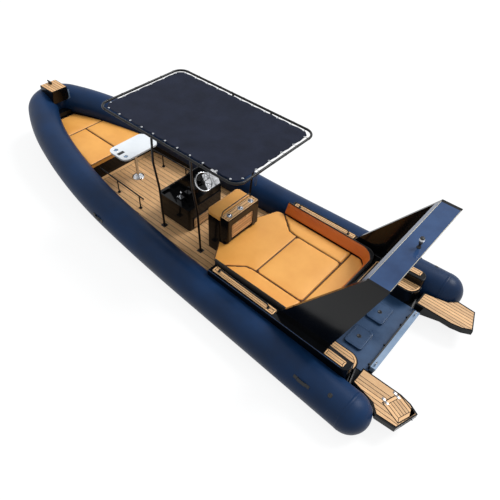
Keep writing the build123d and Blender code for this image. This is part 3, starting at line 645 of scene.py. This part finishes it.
def lay_all_decking():
    """Every teak panel: the width of its planks, the width of its border, and its own draw of tints."""
    lay_planks("cockpit_sole", 0.1, 0.09, 3)
    lay_planks("bow_step_teak", 0.06, 0, 4)
    lay_planks("deck_teak", 0.045, 0.03, 5)
    lay_planks("step_teak", 0.055, 0.035, 6)
    lay_planks("platform_teak", 0.06, 0, 7)
    lid_turn = math.radians(LADDER_LID_TURN)
    lay_planks("ladder_lid", 0.05, 0.05, 8, along=(math.cos(lid_turn), -math.sin(lid_turn), 0))
    lay_planks("helm_leaf", 0.06, 0.025, 9, facing=(-1, 0, 0), along=(0, -1, 0))
    lay_planks("kick_board", 0.055, 0.02, 10, facing=(-1, 0, 0), along=(0, -1, 0))
    plank_helm_top()


def plank_helm_top():
    """The seat's teak top, laid whole, then drilled for its cups."""
    low, high = corners_of("helm_back_teak")
    whole = bmesh.new()
    add_block(whole, (low + high) / 2, high - low)
    holes = [(x, y, CUP_HOLE_RADIUS) for x, y in cup_places()]
    lay_planks("helm_back_teak", 0.06, 0.03, 11, along=(0, 1, 0), cut=holes, shape=whole)


# Cushions
def remeshed(obj, voxel):
    """Even skin of small quads over a solid."""
    remesh = obj.modifiers.new("remesh", "REMESH")
    remesh.mode = "VOXEL"
    remesh.voxel_size = voxel
    remesh.use_smooth_shade = True
    return evaluated(obj)


def puffed(obj, cap):
    """Lets the cover swell as cloth under pressure, with each point held within the cap."""
    rest = [vert.co.copy() for vert in obj.data.vertices]
    cloth = obj.modifiers.new("cloth", "CLOTH")
    settings = cloth.settings
    settings.use_pressure = True
    settings.uniform_pressure_force = 4.0
    settings.effector_weights.gravity = 0
    settings.quality = 4
    settings.mass = 0.4
    settings.tension_stiffness = settings.compression_stiffness = 25
    settings.bending_stiffness = 2.0
    scene = bpy.context.scene
    cloth.point_cache.frame_start, cloth.point_cache.frame_end = 1, CLOTH_FRAMES
    for number in range(1, CLOTH_FRAMES + 1):
        scene.frame_set(number)
    evaluated(obj)
    for vert, start in zip(obj.data.vertices, rest):
        move = vert.co - start
        if move.length > cap:
            vert.co = start + move * (cap / move.length)
    scene.frame_set(1)
    return obj


def make_cushion(name, voxel, cap, edge, material=CUSHION):
    """Soft cover over a plain cushion solid: edges rounded, then swollen by up to the cap."""
    bm = merged_copy(name)
    bmesh.ops.recalc_face_normals(bm, faces=bm.faces)
    obj = make_object(name + "_cover", mesh_of(bm, name + "_cover"), material)
    remeshed(obj, voxel)
    smooth = obj.modifiers.new("soften", "SMOOTH")
    smooth.factor = 0.5
    smooth.iterations = round((edge / voxel) ** 2 * 2)
    evaluated(obj)
    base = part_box(name)[0][2]
    puffed(obj, cap)
    for vert in obj.data.vertices:
        vert.co.z = max(vert.co.z, base)
    subdivide = obj.modifiers.new("subdivide", "SUBSURF")
    subdivide.levels = subdivide.render_levels = 1
    evaluated(obj)
    for polygon in obj.data.polygons:
        polygon.use_smooth = True
    fitted(obj, BODY_OF[name], [name])
    return obj


def top_outline(name):
    """Ordered corner points of a flat-topped solid's upper rim."""
    bm = merged_copy(name)
    top = max(vert.co.z for vert in bm.verts)
    face = max((f for f in bm.faces if f.normal.z > 0.9), key=lambda f: f.calc_area())
    points = [vert.co.copy() for vert in face.verts]
    bm.free()
    return [Vector((p.x, p.y, top)) for p in points]


def spaced(points, step):
    """Points round a closed outline at even short steps."""
    out = []
    for start, end in zip(points, points[1:] + points[:1]):
        count = max(1, math.ceil((end - start).length / step))
        out += [start.lerp(end, i / count) for i in range(count)]
    return out


def rounded_corners(points, radius, step=0.048):
    """A closed outline with its sharp corners cut to arcs, and points at even steps between them."""
    out = []
    count = len(points)
    for i, point in enumerate(points):
        before = points[i - 1] - point
        after = points[(i + 1) % count] - point
        turn = math.pi - before.angle(after)
        reach = min(radius * math.tan(turn / 2), before.length * 0.45, after.length * 0.45)
        if turn < math.radians(12):
            out.append(point)
            continue
        start = point + before.normalized() * reach
        end = point + after.normalized() * reach
        parts = max(2, math.ceil(turn / math.radians(15)))
        for k in range(parts + 1):
            t = k / parts
            out.append(start * (1 - t) ** 2 + point * 2 * t * (1 - t) + end * t ** 2)
    return spaced(out, step)


def add_piping(names, drop=0.012, inset=0.002):
    """Dark cord sewn round each cushion, a little under its top."""
    bm = bmesh.new()
    for name in names:
        outline = rounded_corners(top_outline(name), 0.03)
        middle = sum(outline, Vector()) / len(outline)
        points = []
        for point in outline:
            inward = middle - point
            inward.z = 0
            points.append(point + inward.normalized() * inset - Vector((0, 0, drop)))
        add_tube(bm, points, PIPING_RADIUS, 6, closed=True)
    return finished("cushion_piping", bm, PIPING)


def back_bolster(obj):
    """Gives the bolster's outer side and its narrow top a black backing."""
    low, high = corners_of("pad_bolster")
    obj.data.materials.append(RUBBER)
    for polygon in obj.data.polygons:
        x, y, z = polygon.center
        outward = Vector((0, math.copysign(1, y), 0)) if abs(y) > high.y - 0.17 else Vector((-1, 0, 0))
        if x < low.x + 0.17 and abs(y) > high.y - 0.17:
            outward = Vector((-1, math.copysign(1, y), 0)).normalized()
        if polygon.normal.dot(outward) > 0.35 or z > high.z - 0.008:
            polygon.material_index = 1


def make_soft_goods():
    """Both sun pads, the helm seat and the bolster, with piping round the pads."""
    for name in AFT_PADS + BOW_PADS:
        make_cushion(name, voxel=0.02, cap=0.008, edge=0.022)
    make_cushion("helm_pad", voxel=0.012, cap=0.010, edge=0.03)
    bolster = make_cushion("pad_bolster", voxel=0.014, cap=0.006, edge=0.014, material=BOLSTER)
    back_bolster(bolster)
    add_piping(AFT_PADS + BOW_PADS)


# Canopy
def make_canopy_cloth():
    """One stretched sheet, drawn in between its grommets and sagging between its tubes."""
    low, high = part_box("canopy_cloth")
    half_x, half_y = (high[0] - low[0]) / 2, (high[1] - low[1]) / 2
    centre = Vector(((high[0] + low[0]) / 2, (high[1] + low[1]) / 2, (high[2] + low[2]) / 2))
    corner, columns, rows = 0.11, 132, 84
    draw_in, wave = 0.012, 0.0025
    bays_x = round(2 * half_x / GROMMET_PITCH)
    bays_y = round(2 * half_y / GROMMET_PITCH)
    bm = bmesh.new()
    grid = []
    for i in range(columns + 1):
        line = []
        for j in range(rows + 1):
            u, v = 2 * i / columns - 1, 2 * j / rows - 1
            pull_x = draw_in * abs(math.sin(math.pi * bays_y * (v + 1) / 2)) * abs(u) ** 8
            pull_y = draw_in * abs(math.sin(math.pi * bays_x * (u + 1) / 2)) * abs(v) ** 8
            x = u * half_x - math.copysign(pull_x, u)
            y = v * half_y - math.copysign(pull_y, v)
            over = abs(x) + abs(y) - (half_x + half_y - corner)
            if over > 0:
                x -= math.copysign(over / 2, x)
                y -= math.copysign(over / 2, y)
            sag = -CANOPY_SAG * (1 - u * u) * (1 - v * v)
            ripple = wave * math.sin(math.pi * bays_x * u) * abs(v) ** 6
            ripple += wave * math.sin(math.pi * bays_y * v) * abs(u) ** 6
            line.append(bm.verts.new(centre + Vector((x, y, sag + ripple))))
        grid.append(line)
    for i in range(columns):
        for j in range(rows):
            bm.faces.new((grid[i][j], grid[i + 1][j], grid[i + 1][j + 1], grid[i][j + 1]))
    area = sum(face.calc_area() for face in bm.faces)
    obj = make_object("canopy_sheet", mesh_of(bm, "canopy_sheet"), CANVAS)
    thick = obj.modifiers.new("thickness", "SOLIDIFY")
    thick.thickness = 0.003
    thick.offset = 0
    evaluated(obj)
    fitted(obj, "boat", ["canopy_cloth"])
    return centre, half_x, half_y, bays_x, bays_y


def edge_places(half_x, half_y, bays_x, bays_y, inset):
    """Grommet places round the sheet, each with the direction out of it."""
    places = []
    for i in range(bays_x):
        x = -half_x + 2 * half_x * (i + 0.5) / bays_x
        places += [(Vector((x, half_y - inset, 0)), Vector((0, 1, 0))),
                   (Vector((x, inset - half_y, 0)), Vector((0, -1, 0)))]
    for j in range(bays_y):
        y = -half_y + 2 * half_y * (j + 0.5) / bays_y
        places += [(Vector((half_x - inset, y, 0)), Vector((1, 0, 0))),
                   (Vector((inset - half_x, y, 0)), Vector((-1, 0, 0)))]
    return places


def repeat_tree():
    """Node tree that sets a small piece at each point, turned by the angles stored there."""
    tree = bpy.data.node_groups.new("repeat_piece", "GeometryNodeTree")
    tree.interface.new_socket("Points", in_out="INPUT", socket_type="NodeSocketGeometry")
    tree.interface.new_socket("Piece", in_out="INPUT", socket_type="NodeSocketObject")
    tree.interface.new_socket("Size", in_out="INPUT", socket_type="NodeSocketFloat").default_value = 1.0
    tree.interface.new_socket("Finish", in_out="INPUT", socket_type="NodeSocketMaterial")
    tree.interface.new_socket("Geometry", in_out="OUTPUT", socket_type="NodeSocketGeometry")
    given = node(tree, "NodeGroupInput")
    result = node(tree, "NodeGroupOutput")
    piece = node(tree, "GeometryNodeObjectInfo")
    angles = node(tree, "GeometryNodeInputNamedAttribute", data_type="FLOAT_VECTOR")
    angles.inputs["Name"].default_value = "turn"
    turned = node(tree, "FunctionNodeEulerToRotation")
    placed = node(tree, "GeometryNodeInstanceOnPoints")
    real = node(tree, "GeometryNodeRealizeInstances")
    finish = node(tree, "GeometryNodeSetMaterial")
    wire(tree, (given.outputs["Points"], placed.inputs["Points"]),
         (given.outputs["Piece"], piece.inputs["Object"]),
         (given.outputs["Size"], placed.inputs["Scale"]),
         (given.outputs["Finish"], finish.inputs["Material"]),
         (piece.outputs["Geometry"], placed.inputs["Instance"]),
         (angles.outputs["Attribute"], turned.inputs[0]),
         (turned.outputs[0], placed.inputs["Rotation"]),
         (placed.outputs["Instances"], real.inputs["Geometry"]),
         (real.outputs["Geometry"], finish.inputs["Geometry"]),
         (finish.outputs["Geometry"], result.inputs["Geometry"]))
    return tree


REPEAT = repeat_tree()


def repeat(name, bm, places, material, body="boat", size=1.0):
    """Sets a piece at each (place, upward, forward) triple and makes one mesh of them."""
    bmesh.ops.recalc_face_normals(bm, faces=bm.faces)
    piece = make_object(name + "_piece", mesh_of(bm, name + "_piece"))
    points = bpy.data.meshes.new(name)
    points.from_pydata([tuple(place) for place, _, _ in places], [], [])
    turn = points.attributes.new("turn", "FLOAT_VECTOR", "POINT")
    for i, (_, upward, forward) in enumerate(places):
        z = Vector(upward).normalized()
        x = (Vector(forward) - z * z.dot(Vector(forward))).normalized()
        turn.data[i].vector = Matrix((x, z.cross(x), z)).transposed().to_euler()
    obj = make_object(name, points)
    modifier = obj.modifiers.new("repeat", "NODES")
    modifier.node_group = REPEAT
    sockets = {item.name: item.identifier for item in REPEAT.interface.items_tree if item.in_out == "INPUT"}
    modifier[sockets["Piece"]] = piece
    modifier[sockets["Size"]] = size
    modifier[sockets["Finish"]] = material
    evaluated(obj)
    bpy.data.objects.remove(piece)
    return fitted(obj, body)


def lathe_piece(profile, sides=16):
    """Small turned part standing at the origin."""
    bm = bmesh.new()
    add_lathe(bm, (0, 0, 0), (0, 0, 1), profile, sides)
    return bm


def lace_canopy(centre, half_x, half_y, bays_x, bays_y):
    """Pale grommets, and a cord loop from each one round the tube."""
    frame_low, frame_high = corners_of("canopy_frame")
    tube = (frame_high.z - frame_low.z) / 2
    height = (frame_high.z + frame_low.z) / 2
    gap = frame_high.y - tube - half_y
    places = [(centre + place + Vector((0, 0, 0.002)), (0, 0, 1), out)
              for place, out in edge_places(half_x, half_y, bays_x, bays_y, GROMMET_INSET)]
    hole, rim = 0.006, 0.012
    ring = lathe_piece([(hole, 0.0), (rim, 0.0), (rim, 0.002), (0.009, 0.0035), (hole, 0.002), (hole, 0.0)])
    repeat("canopy_grommets", ring, places, LENS, size=1.35)
    reach = gap + GROMMET_INSET
    turn = tube + 0.0035
    loop = [Vector((0, -0.012, 0.004))]
    for k in range(9):
        angle = math.radians(125 - k * 31)
        loop.append(Vector((reach + turn * math.cos(angle), 0.004 * k - 0.016,
                            height - centre.z + turn * math.sin(angle))))
    loop.append(Vector((0, 0.012, -0.005)))
    cords = bmesh.new()
    add_tube(cords, loop, CORD_RADIUS, 6)
    repeat("canopy_lacing", cords, places, RUBBER)


# Fittings
def lid_frame():
    """Middle and heading of the ladder lid, from its own corners."""
    bm = merged_copy("ladder_lid")
    loop = panel_loops(bm)[0]
    bm.free()
    middle = sum(loop, Vector((0, 0))) / len(loop)
    edge = max(((b - a) for a, b in zip(loop, loop[1:] + loop[:1])), key=lambda run: abs(run.x))
    forward = edge.normalized() if edge.x > 0 else -edge.normalized()
    return middle, forward


def fit_hinges():
    """Bright hinges of the ladder lid and the folding leaf, their pins on the hinge lines."""
    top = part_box("ladder_lid")[1][2]
    middle, forward = lid_frame()
    side = Vector((-forward.y, forward.x))
    edge = middle + forward * LID_HINGE_REACH
    places = [(Vector((*(edge + side * across), top)), (0, 0, 1), (*forward, 0))
              for across in (-LID_HINGE_SPREAD, LID_HINGE_SPREAD)]
    strap = bmesh.new()
    add_block(strap, Vector((0.037, 0, 0.0022)), Vector((0.054, 0.034, 0.0044)), 0.0015)
    repeat("lid_hinges", strap, places, STEEL)
    flap = bmesh.new()
    add_block(flap, Vector((-0.034, 0, 0.0022)), Vector((0.058, 0.034, 0.0044)), 0.0015)
    add_tube(flap, [(0, -0.02, 0), (0, 0.02, 0)], 0.0045, 10)
    repeat("lid_hinge_flaps", flap, places, STEEL, body=BODY_OF["ladder_lid"])
    low, high = corners_of("helm_leaf")
    wing = bmesh.new()
    add_block(wing, Vector((0.022, 0, 0.0015)), Vector((0.04, 0.05, 0.003)), 0.001)
    add_tube(wing, [(0, -0.026, 0.0005), (0, 0.026, 0.0005)], 0.0035, 8)
    hinge_y = [low.y + share * (high.y - low.y) for share in LEAF_HINGE_SHARES]
    places = [(Vector((low.x, y, high.z)), (-1, 0, 0), (0, 0, -1)) for y in hinge_y]
    repeat("leaf_hinges", wing, places, STEEL, body=BODY_OF["helm_leaf"])


def fit_well():
    """Latch and bead of each hatch lid, a black strip along the cap that is a painted shadow, and the well's
    knobs.
    """
    for name in ("hatch_port", "hatch_starboard"):
        low, high = corners_of(name)
        centre = Vector(((low.x + high.x) / 2, (low.y + high.y) / 2, high.z))
        latch = bmesh.new()
        dish = [(0, 0.001), (0.02, 0.001), (0.026, 0.006), (0.034, 0.006), (0.038, 0.0)]
        add_lathe(latch, centre, (0, 0, 1), dish, 28)
        add_block(latch, centre + Vector((0, 0, 0.006)), Vector((0.008, 0.044, 0.008)), 0.002)
        bmesh.ops.recalc_face_normals(latch, faces=latch.faces)
        finished(name + "_latch", latch, RUBBER, BODY_OF[name])
        rim = bmesh.new()
        corner, inset = 0.045, 0.03
        near, far = low.x + inset, high.x - inset
        right, left = low.y + inset, high.y - inset
        outline = ((near, right), (far, right), (far, left), (near, left))
        path = rounded_corners([Vector((x, y, high.z)) for x, y in outline], corner)
        add_tube(rim, path, 0.0035, 6, closed=True)
        finished(name + "_bead", rim, WELL, BODY_OF[name])
    cap_low, cap_high = corners_of("transom_cap")
    floor_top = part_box("well_floor")[1][2]
    # Painted shadow: a black strip fills the gap between the well floor and the transom cap, where only
    # shade falls.
    strip = bmesh.new()
    middle = Vector((cap_high.x + 0.014, 0, (floor_top + cap_high.z) / 2 - 0.004))
    add_block(strip, middle, Vector((0.026, cap_high.y - cap_low.y, cap_high.z - floor_top - 0.008)), 0.004)
    finished("well_seal", strip, RUBBER, smooth=False)
    knob = lathe_piece([(0.016, 0.0), (0.016, 0.012), (0.011, 0.02), (0, 0.022)], 14)
    places = [(Vector((cap_high.x + 0.05, y, floor_top)), (0, 0, 1), (1, 0, 0)) for y in WELL_KNOB_Y]
    repeat("well_knobs", knob, places, RUBBER)


def fit_screws():
    """Screw heads on the canopy's foot plates, and flanges round the grab rails' feet."""
    head = lathe_piece([(0.0065, 0.0), (0.0065, 0.0015), (0.004, 0.003), (0, 0.003)], 10)
    offsets = (-FOOT_SCREW_OFFSET, FOOT_SCREW_OFFSET)
    places = []
    for x, y in CANOPY_FEET:
        for side in (1, -1):
            for dx in offsets:
                places += [(Vector((x + dx, side * y + dy, SOLE_Z + 0.01)), (0, 0, 1), (1, 0, 0))
                           for dy in offsets]
    repeat("foot_screws", head, places, STEEL)
    flange = lathe_piece([(0.027, 0.0), (0.027, 0.003), (0.018, 0.008), (0.0115, 0.01)], 18)
    bm = merged_copy("grab_rails")
    low = min(vert.co.z for vert in bm.verts)
    undersides = [face.calc_center_median() for face in bm.faces if face.normal.z < -0.95]
    feet = [(place, (0, 0, 1), (1, 0, 0)) for place in undersides if place.z < low + 0.001]
    bm.free()
    repeat("rail_flanges", flange, feet, TUBE)


def make_wheel():
    """Bright rim on dark spokes and a dished hub."""
    across = Vector((0, 1, 0))
    upward = WHEEL_AXIS.cross(across).normalized()
    circle = [WHEEL_CENTRE + WHEEL_RADIUS * (math.cos(a) * across + math.sin(a) * upward)
              for a in round_angles(72)]
    rim = bmesh.new()
    add_tube(rim, circle, WHEEL_RIM, 14, closed=True)
    finished("wheel_rim", rim, STEEL, BODY_OF["steering_wheel"], ["steering_wheel"])
    hub = bmesh.new()
    add_lathe(hub, WHEEL_CENTRE - WHEEL_AXIS * 0.05, WHEEL_AXIS,
              [(0, -0.03), (0.014, -0.03), (0.014, 0.0), (0.03, 0.004), (0.038, 0.014), (0.038, 0.03),
               (0.032, 0.036), (0.014, 0.036), (0.012, 0.04), (0, 0.042)], 32)
    for angle in round_angles(WHEEL_SPOKES):
        out = math.cos(angle) * across + math.sin(angle) * upward
        near = WHEEL_CENTRE - WHEEL_AXIS * 0.03 + out * 0.03
        middle = WHEEL_CENTRE - WHEEL_AXIS * 0.024 + out * 0.09
        far = WHEEL_CENTRE + out * (WHEEL_RADIUS - WHEEL_RIM * 0.6)
        add_tube(hub, [near, middle, far], 0.0048, 8)
    bmesh.ops.recalc_face_normals(hub, faces=hub.faces)
    finished("wheel_spokes", hub, TUBE, BODY_OF["steering_wheel"])


def make_gauges():
    """Dials on the dash: bezel, dark face, ticks and needle."""
    run = DASH_HIGH - DASH_LOW
    slope = run.normalized()
    facing = Vector((-slope.z, 0, slope.x))
    side = Vector((0, 1, 0))
    centre_y = sum(DASH_FACE_Y) / 2
    width = DASH_FACE_Y[1] - DASH_FACE_Y[0]
    bezels, faces, marks = bmesh.new(), bmesh.new(), bmesh.new()
    chance = random.Random(4)
    for share, across, radius in GAUGES:
        middle = Vector((0, centre_y + across * width, 0))
        centre = DASH_LOW + slope * (share * run.length) + middle + facing * 0.008
        add_lathe(bezels, centre, facing, [(radius + 0.004, 0), (radius + 0.004, 0.004), (radius, 0.007),
                                           (radius - 0.004, 0.004), (radius - 0.004, 0.001)], 36)
        add_lathe(faces, centre, facing, [(radius - 0.003, 0.0012), (0, 0.0018)], 36)
        tick_foot = centre + facing * 0.0026
        for k in range(GAUGE_TICKS):
            angle = math.radians(-120 + 24 * k)
            out = slope * math.cos(angle) + side * math.sin(angle)
            add_tube(marks, [tick_foot + out * radius * 0.7, tick_foot + out * radius * 0.84], 0.0006, 4)
        angle = math.radians(chance.uniform(-110, 20))
        out = slope * math.cos(angle) + side * math.sin(angle)
        pin = centre + facing * 0.003
        add_tube(marks, [pin - out * radius * 0.1, pin + out * radius * 0.7], 0.0009, 4)
    finished("gauge_bezels", bezels, STEEL)
    finished("gauge_faces", faces, GELCOAT)
    finished("gauge_marks", marks, LENS)


def make_nav_light():
    """Black stem with a pale lens cup and a bright band."""
    low, high = corners_of("nav_light")
    foot = Vector(((low.x + high.x) / 2, (low.y + high.y) / 2, low.z))
    tall = high.z - low.z
    stem = bmesh.new()
    add_lathe(stem, foot, (0, 0, 1), [(0, 0), (0.03, 0), (0.03, 0.008), (0.02, 0.014), (0.017, 0.06),
                                      (0.026, 0.075), (0.026, 0.1), (0.016, 0.108), (0.016, 0.116),
                                      (0, 0.116)], 28)
    add_lathe(stem, foot, (0, 0, 1), [(0, tall - 0.022), (0.031, tall - 0.022), (0.031, tall - 0.008),
                                      (0.024, tall), (0, tall)], 28)
    finished("nav_stem", stem, RUBBER, stands_for=["nav_light"])
    cup = bmesh.new()
    add_lathe(cup, foot, (0, 0, 1), [(0, 0.112), (0.028, 0.114), (0.033, 0.12), (0.033, tall - 0.02),
                                     (0, tall - 0.02)], 28)
    finished("nav_lens", cup, LENS)
    band = bmesh.new()
    add_lathe(band, foot, (0, 0, 1), [(0.0325, 0.124), (0.0345, 0.124), (0.0345, 0.136),
                                      (0.0325, 0.136)], 28)
    finished("nav_band", band, STEEL)


def beam_lines_and_deck_highlights():
    """Pale lines along the beam's two long upper edges, and blue lines along the side decks' edges that are
    painted highlights.
    """
    low, high = corners_of("arch_beam")
    lines = bmesh.new()
    for x in (BEAM_TOP_X[0] + 0.006, BEAM_TOP_X[1] - 0.006):
        add_tube(lines, [(x, low.y + 0.004, high.z), (x, high.y - 0.004, high.z)], 0.004, 6)
    finished("beam_lines", lines, TRIM)
    # Painted highlights: blue lines along the side decks' outer edges, standing for the light caught by the
    # gloss edge.
    edges = bmesh.new()
    for side in (1, -1):
        add_tube(edges, [(x, side * y, z) for x, y, z in DECK_EDGE], 0.004, 6)
    finished("deck_lines", edges, PAINTED_SKY_BLUE)


def conformed_patch(name, corners, lift=0.0025, steps=(24, 12)):
    """Thin sheet bonded to the collar between four corner points."""
    bm = merged_copy("collar_tube")
    tree = BVHTree.FromBMesh(bm)
    a, b, c, d = (Vector(corner) for corner in corners)
    sheet = bmesh.new()
    rows = []
    for i in range(steps[0] + 1):
        u = i / steps[0]
        row = []
        for j in range(steps[1] + 1):
            v = j / steps[1]
            place, normal, _, _ = tree.find_nearest(a.lerp(b, u).lerp(d.lerp(c, u), v))
            near_edge = min(i, steps[0] - i, j, steps[1] - j) == 0
            row.append(sheet.verts.new(place + normal * (-0.001 if near_edge else lift)))
        rows.append(row)
    for i in range(steps[0]):
        for j in range(steps[1]):
            sheet.faces.new((rows[i][j], rows[i + 1][j], rows[i + 1][j + 1], rows[i][j + 1]))
    bm.free()
    flow = (rows[1][0].co - rows[0][0].co).cross(rows[0][1].co - rows[0][0].co)
    _, normal, _, _ = tree.find_nearest(rows[0][0].co)
    if flow.dot(normal) < 0:
        bmesh.ops.reverse_faces(sheet, faces=sheet.faces[:])
    return finished(name, sheet, PATCH)


def tube_band(name, centre, heading, width=0.05, lift=0.002):
    """Seam tape right round the collar at one place."""
    inner, outer, half = COLLAR_RADIUS - 0.002, COLLAR_RADIUS + lift, width / 2
    tape = bmesh.new()
    add_lathe(tape, centre, heading, [(inner, -half), (outer, -half + 0.004), (outer, half - 0.004),
                                      (inner, half)], 96)
    return finished(name, tape, COLLAR)


def finish_collar():
    """Seam tapes at the cones, valves on top of each side, and the chafe patch behind the bow step."""
    conformed_patch("bow_patch", BOW_PATCH)
    toe = math.radians(COLLAR_TOE)
    for word, side in (("port", 1), ("starboard", -1)):
        heading = Vector((math.cos(toe), -side * math.sin(toe), 0))
        end = Vector((COLLAR_END[0], side * COLLAR_END[1], COLLAR_END[2]))
        tube_band("cone_tape_" + word, end + heading * 0.02, heading)
        tube_band("cone_ring_" + word, end - heading * 0.005, heading, 0.012, 0.004)
        angle = math.radians(VALVE_ANGLE)
        out = Vector((0, side * math.cos(angle), math.sin(angle)))
        valve = bmesh.new()
        add_lathe(valve, end + heading * 0.29 + out * (COLLAR_RADIUS - 0.004), out,
                  [(0.034, 0), (0.034, 0.006), (0.026, 0.011), (0.024, 0.009), (0.01, 0.009),
                   (0.008, 0.012), (0, 0.012)], 28)
        finished("valve_" + word, valve, RUBBER)


def finish_table():
    """Cup rims and wells, the dark tray slot between them, and the pedestal's flange."""
    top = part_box("table_top")[1][2]
    cups = [(Vector((x, TABLE_MIDDLE[1], top)), (0, 0, 1), (1, 0, 0)) for x in TABLE_CUP_X]
    ring = lathe_piece([(0.0405, -0.02), (0.0405, 0.001), (0.046, 0.0025), (0.049, 0.0)], 32)
    repeat("table_cup_rims", ring, cups, STEEL)
    well = lathe_piece([(0.0395, -0.006), (0.036, -0.01), (0, -0.01)], 32)
    repeat("table_cup_wells", well, cups, CAP)
    flange = bmesh.new()
    add_lathe(flange, PEDESTAL_FOOT, (0, 0, 1), [(0.125, 0), (0.125, 0.006), (0.118, 0.01), (0.045, 0.013),
                                                 (0.034, 0.03), (0.0305, 0.03)], 40)
    finished("pedestal_flange", flange, STEEL)
    slot = bmesh.new()
    add_block(slot, Vector((*TABLE_MIDDLE, top + 0.0005)), Vector((0.075, 0.15, 0.003)), 0.001)
    finished("table_slot", slot, RUBBER, smooth=False)


def hang_straps():
    """Two webbing loops hanging from the canopy's frame."""
    frame_low, frame_high = corners_of("canopy_frame")
    loops = bmesh.new()
    for x, y, drop in ((frame_low.x + 0.02, 0.52, 0.2), (3.05, frame_high.y - 0.02, 0.15)):
        top = Vector((x, y, frame_low.z + 0.02))
        path = [top + Vector((0.0, 0.022 * math.sin(a), -drop / 2 + drop / 2 * math.cos(a)))
                for a in round_angles(24)]
        add_tube(loops, path, 0.005, 6, closed=True)
    finished("canopy_straps", loops, RUBBER)


def edge_bolster():
    """Black bead along the bolster's outer upper edge."""
    low, high = corners_of("pad_bolster")
    corner, inset = 0.19, 0.012
    reach = corner - inset
    path = [Vector((high.x - 0.01, low.y + inset, high.z)), Vector((low.x + corner, low.y + inset, high.z))]
    for k in range(1, 9):
        a = math.radians(90 * k / 9)
        path.append(Vector((low.x + corner - reach * math.sin(a), low.y + corner - reach * math.cos(a),
                            high.z)))
    path.append(Vector((low.x + inset, low.y + corner, high.z)))
    mirrored_path = [Vector((p.x, low.y + high.y - p.y, p.z)) for p in reversed(path)]
    bead = bmesh.new()
    add_tube(bead, path + mirrored_path, 0.011, 8)
    finished("bolster_bead", bead, RUBBER)


def fit_everything():
    fit_hinges()
    fit_well()
    fit_screws()
    make_wheel()
    make_gauges()
    make_nav_light()
    beam_lines_and_deck_highlights()
    finish_collar()
    finish_table()
    hang_straps()
    edge_bolster()


# Stage
def background_rays(tree):
    """1 on the rays that show the white background, 0 on those that light the boat."""
    path = node(tree, "ShaderNodeLightPath")
    straight = node(tree, "ShaderNodeMath", operation="ADD", use_clamp=True)
    seen = node(tree, "ShaderNodeMath", operation="ADD", use_clamp=True)
    wire(tree, (path.outputs["Is Camera Ray"], straight.inputs[0]),
         (path.outputs["Is Glossy Ray"], straight.inputs[1]), (straight.outputs[0], seen.inputs[0]),
         (path.outputs["Is Transmission Ray"], seen.inputs[1]))
    return seen.outputs[0]


def make_floor():
    """Pale floor that shows white, with the boat's shadow on it."""
    bm = bmesh.new()
    bm.faces.new([bm.verts.new((x, y, 0)) for x, y in ((-60, -60), (70, -60), (70, 60), (-60, 60))])
    material = bpy.data.materials.new("pale_floor")
    material.use_nodes = True
    tree = material.node_tree
    shader = tree.nodes["Principled BSDF"]
    shader.inputs["Base Color"].default_value = (0.16, 0.16, 0.16, 1)
    shader.inputs["Roughness"].default_value = 1.0
    shader.inputs["Specular IOR Level"].default_value = 0.0
    glow = node(tree, "ShaderNodeEmission", {"Color": (1, 1, 1, 1)})
    both = node(tree, "ShaderNodeAddShader")
    level = node(tree, "ShaderNodeMath", {1: 0.86}, operation="MULTIPLY")
    wire(tree, (background_rays(tree), level.inputs[0]), (level.outputs[0], glow.inputs["Strength"]),
         (shader.outputs[0], both.inputs[0]), (glow.outputs[0], both.inputs[1]),
         (both.outputs[0], tree.nodes["Material Output"].inputs["Surface"]))
    floor = make_object("floor", mesh_of(bm, "floor", smooth=False), material)


def make_camera():
    """Camera at the photograph's viewpoint."""
    heading, pitch, roll = (math.radians(a) for a in (CAMERA_HEADING, CAMERA_PITCH, CAMERA_ROLL))
    forward = Vector((math.cos(heading) * math.cos(pitch), -math.sin(heading) * math.cos(pitch),
                      -math.sin(pitch)))
    level = Vector((-math.sin(heading), -math.cos(heading), 0))
    upright = level.cross(forward)
    right = level * math.cos(roll) + upright * math.sin(roll)
    up = upright * math.cos(roll) - level * math.sin(roll)
    data = bpy.data.cameras.new("photo_camera")
    data.lens = CAMERA_LENS
    data.sensor_width = 36
    camera = bpy.data.objects.new("photo_camera", data)
    turn = Matrix((right, up, -forward)).transposed().to_4x4()
    camera.matrix_world = Matrix.Translation(CAMERA_PLACE) @ turn
    bpy.context.scene.collection.objects.link(camera)
    bpy.context.scene.camera = camera


def make_light():
    """Soft light from above and one broad sun, before a white background."""
    world = bpy.data.worlds.new("studio")
    bpy.context.scene.world = world
    world.use_nodes = True
    tree = world.node_tree
    light = tree.nodes["Background"]
    light.inputs["Color"].default_value = (0.95, 0.98, 1.0, 1)
    place = node(tree, "ShaderNodeTexCoord")
    parts = node(tree, "ShaderNodeSeparateXYZ")
    sky = node(tree, "ShaderNodeMapRange", {"From Min": 0.0, "From Max": 1.0, "To Min": 0.04, "To Max": 1.1})
    wire(tree, (place.outputs["Generated"], parts.inputs[0]), (parts.outputs["Z"], sky.inputs["Value"]),
         (sky.outputs["Result"], light.inputs["Strength"]))
    shown = node(tree, "ShaderNodeBackground", {"Color": (1, 1, 1, 1), "Strength": 1.0})
    mix = node(tree, "ShaderNodeMixShader")
    wire(tree, (background_rays(tree), mix.inputs[0]), (light.outputs[0], mix.inputs[1]),
         (shown.outputs[0], mix.inputs[2]), (mix.outputs[0], tree.nodes["World Output"].inputs["Surface"]))
    sun = bpy.data.lights.new("sun", "SUN")
    sun.energy = SUN_STRENGTH
    sun.angle = math.radians(SUN_WIDTH)
    lamp = bpy.data.objects.new("sun", sun)
    lamp.rotation_mode = "QUATERNION"
    lamp.rotation_quaternion = Vector(SUN_PLACE).to_track_quat("Z", "Y")
    bpy.context.scene.collection.objects.link(lamp)


make_camera()
make_light()
make_floor()
dress_cad_nodes()
lay_all_decking()
make_soft_goods()
lace_canopy(*make_canopy_cloth())
fit_everything()
bpy.context.scene.view_settings.view_transform = "Standard"
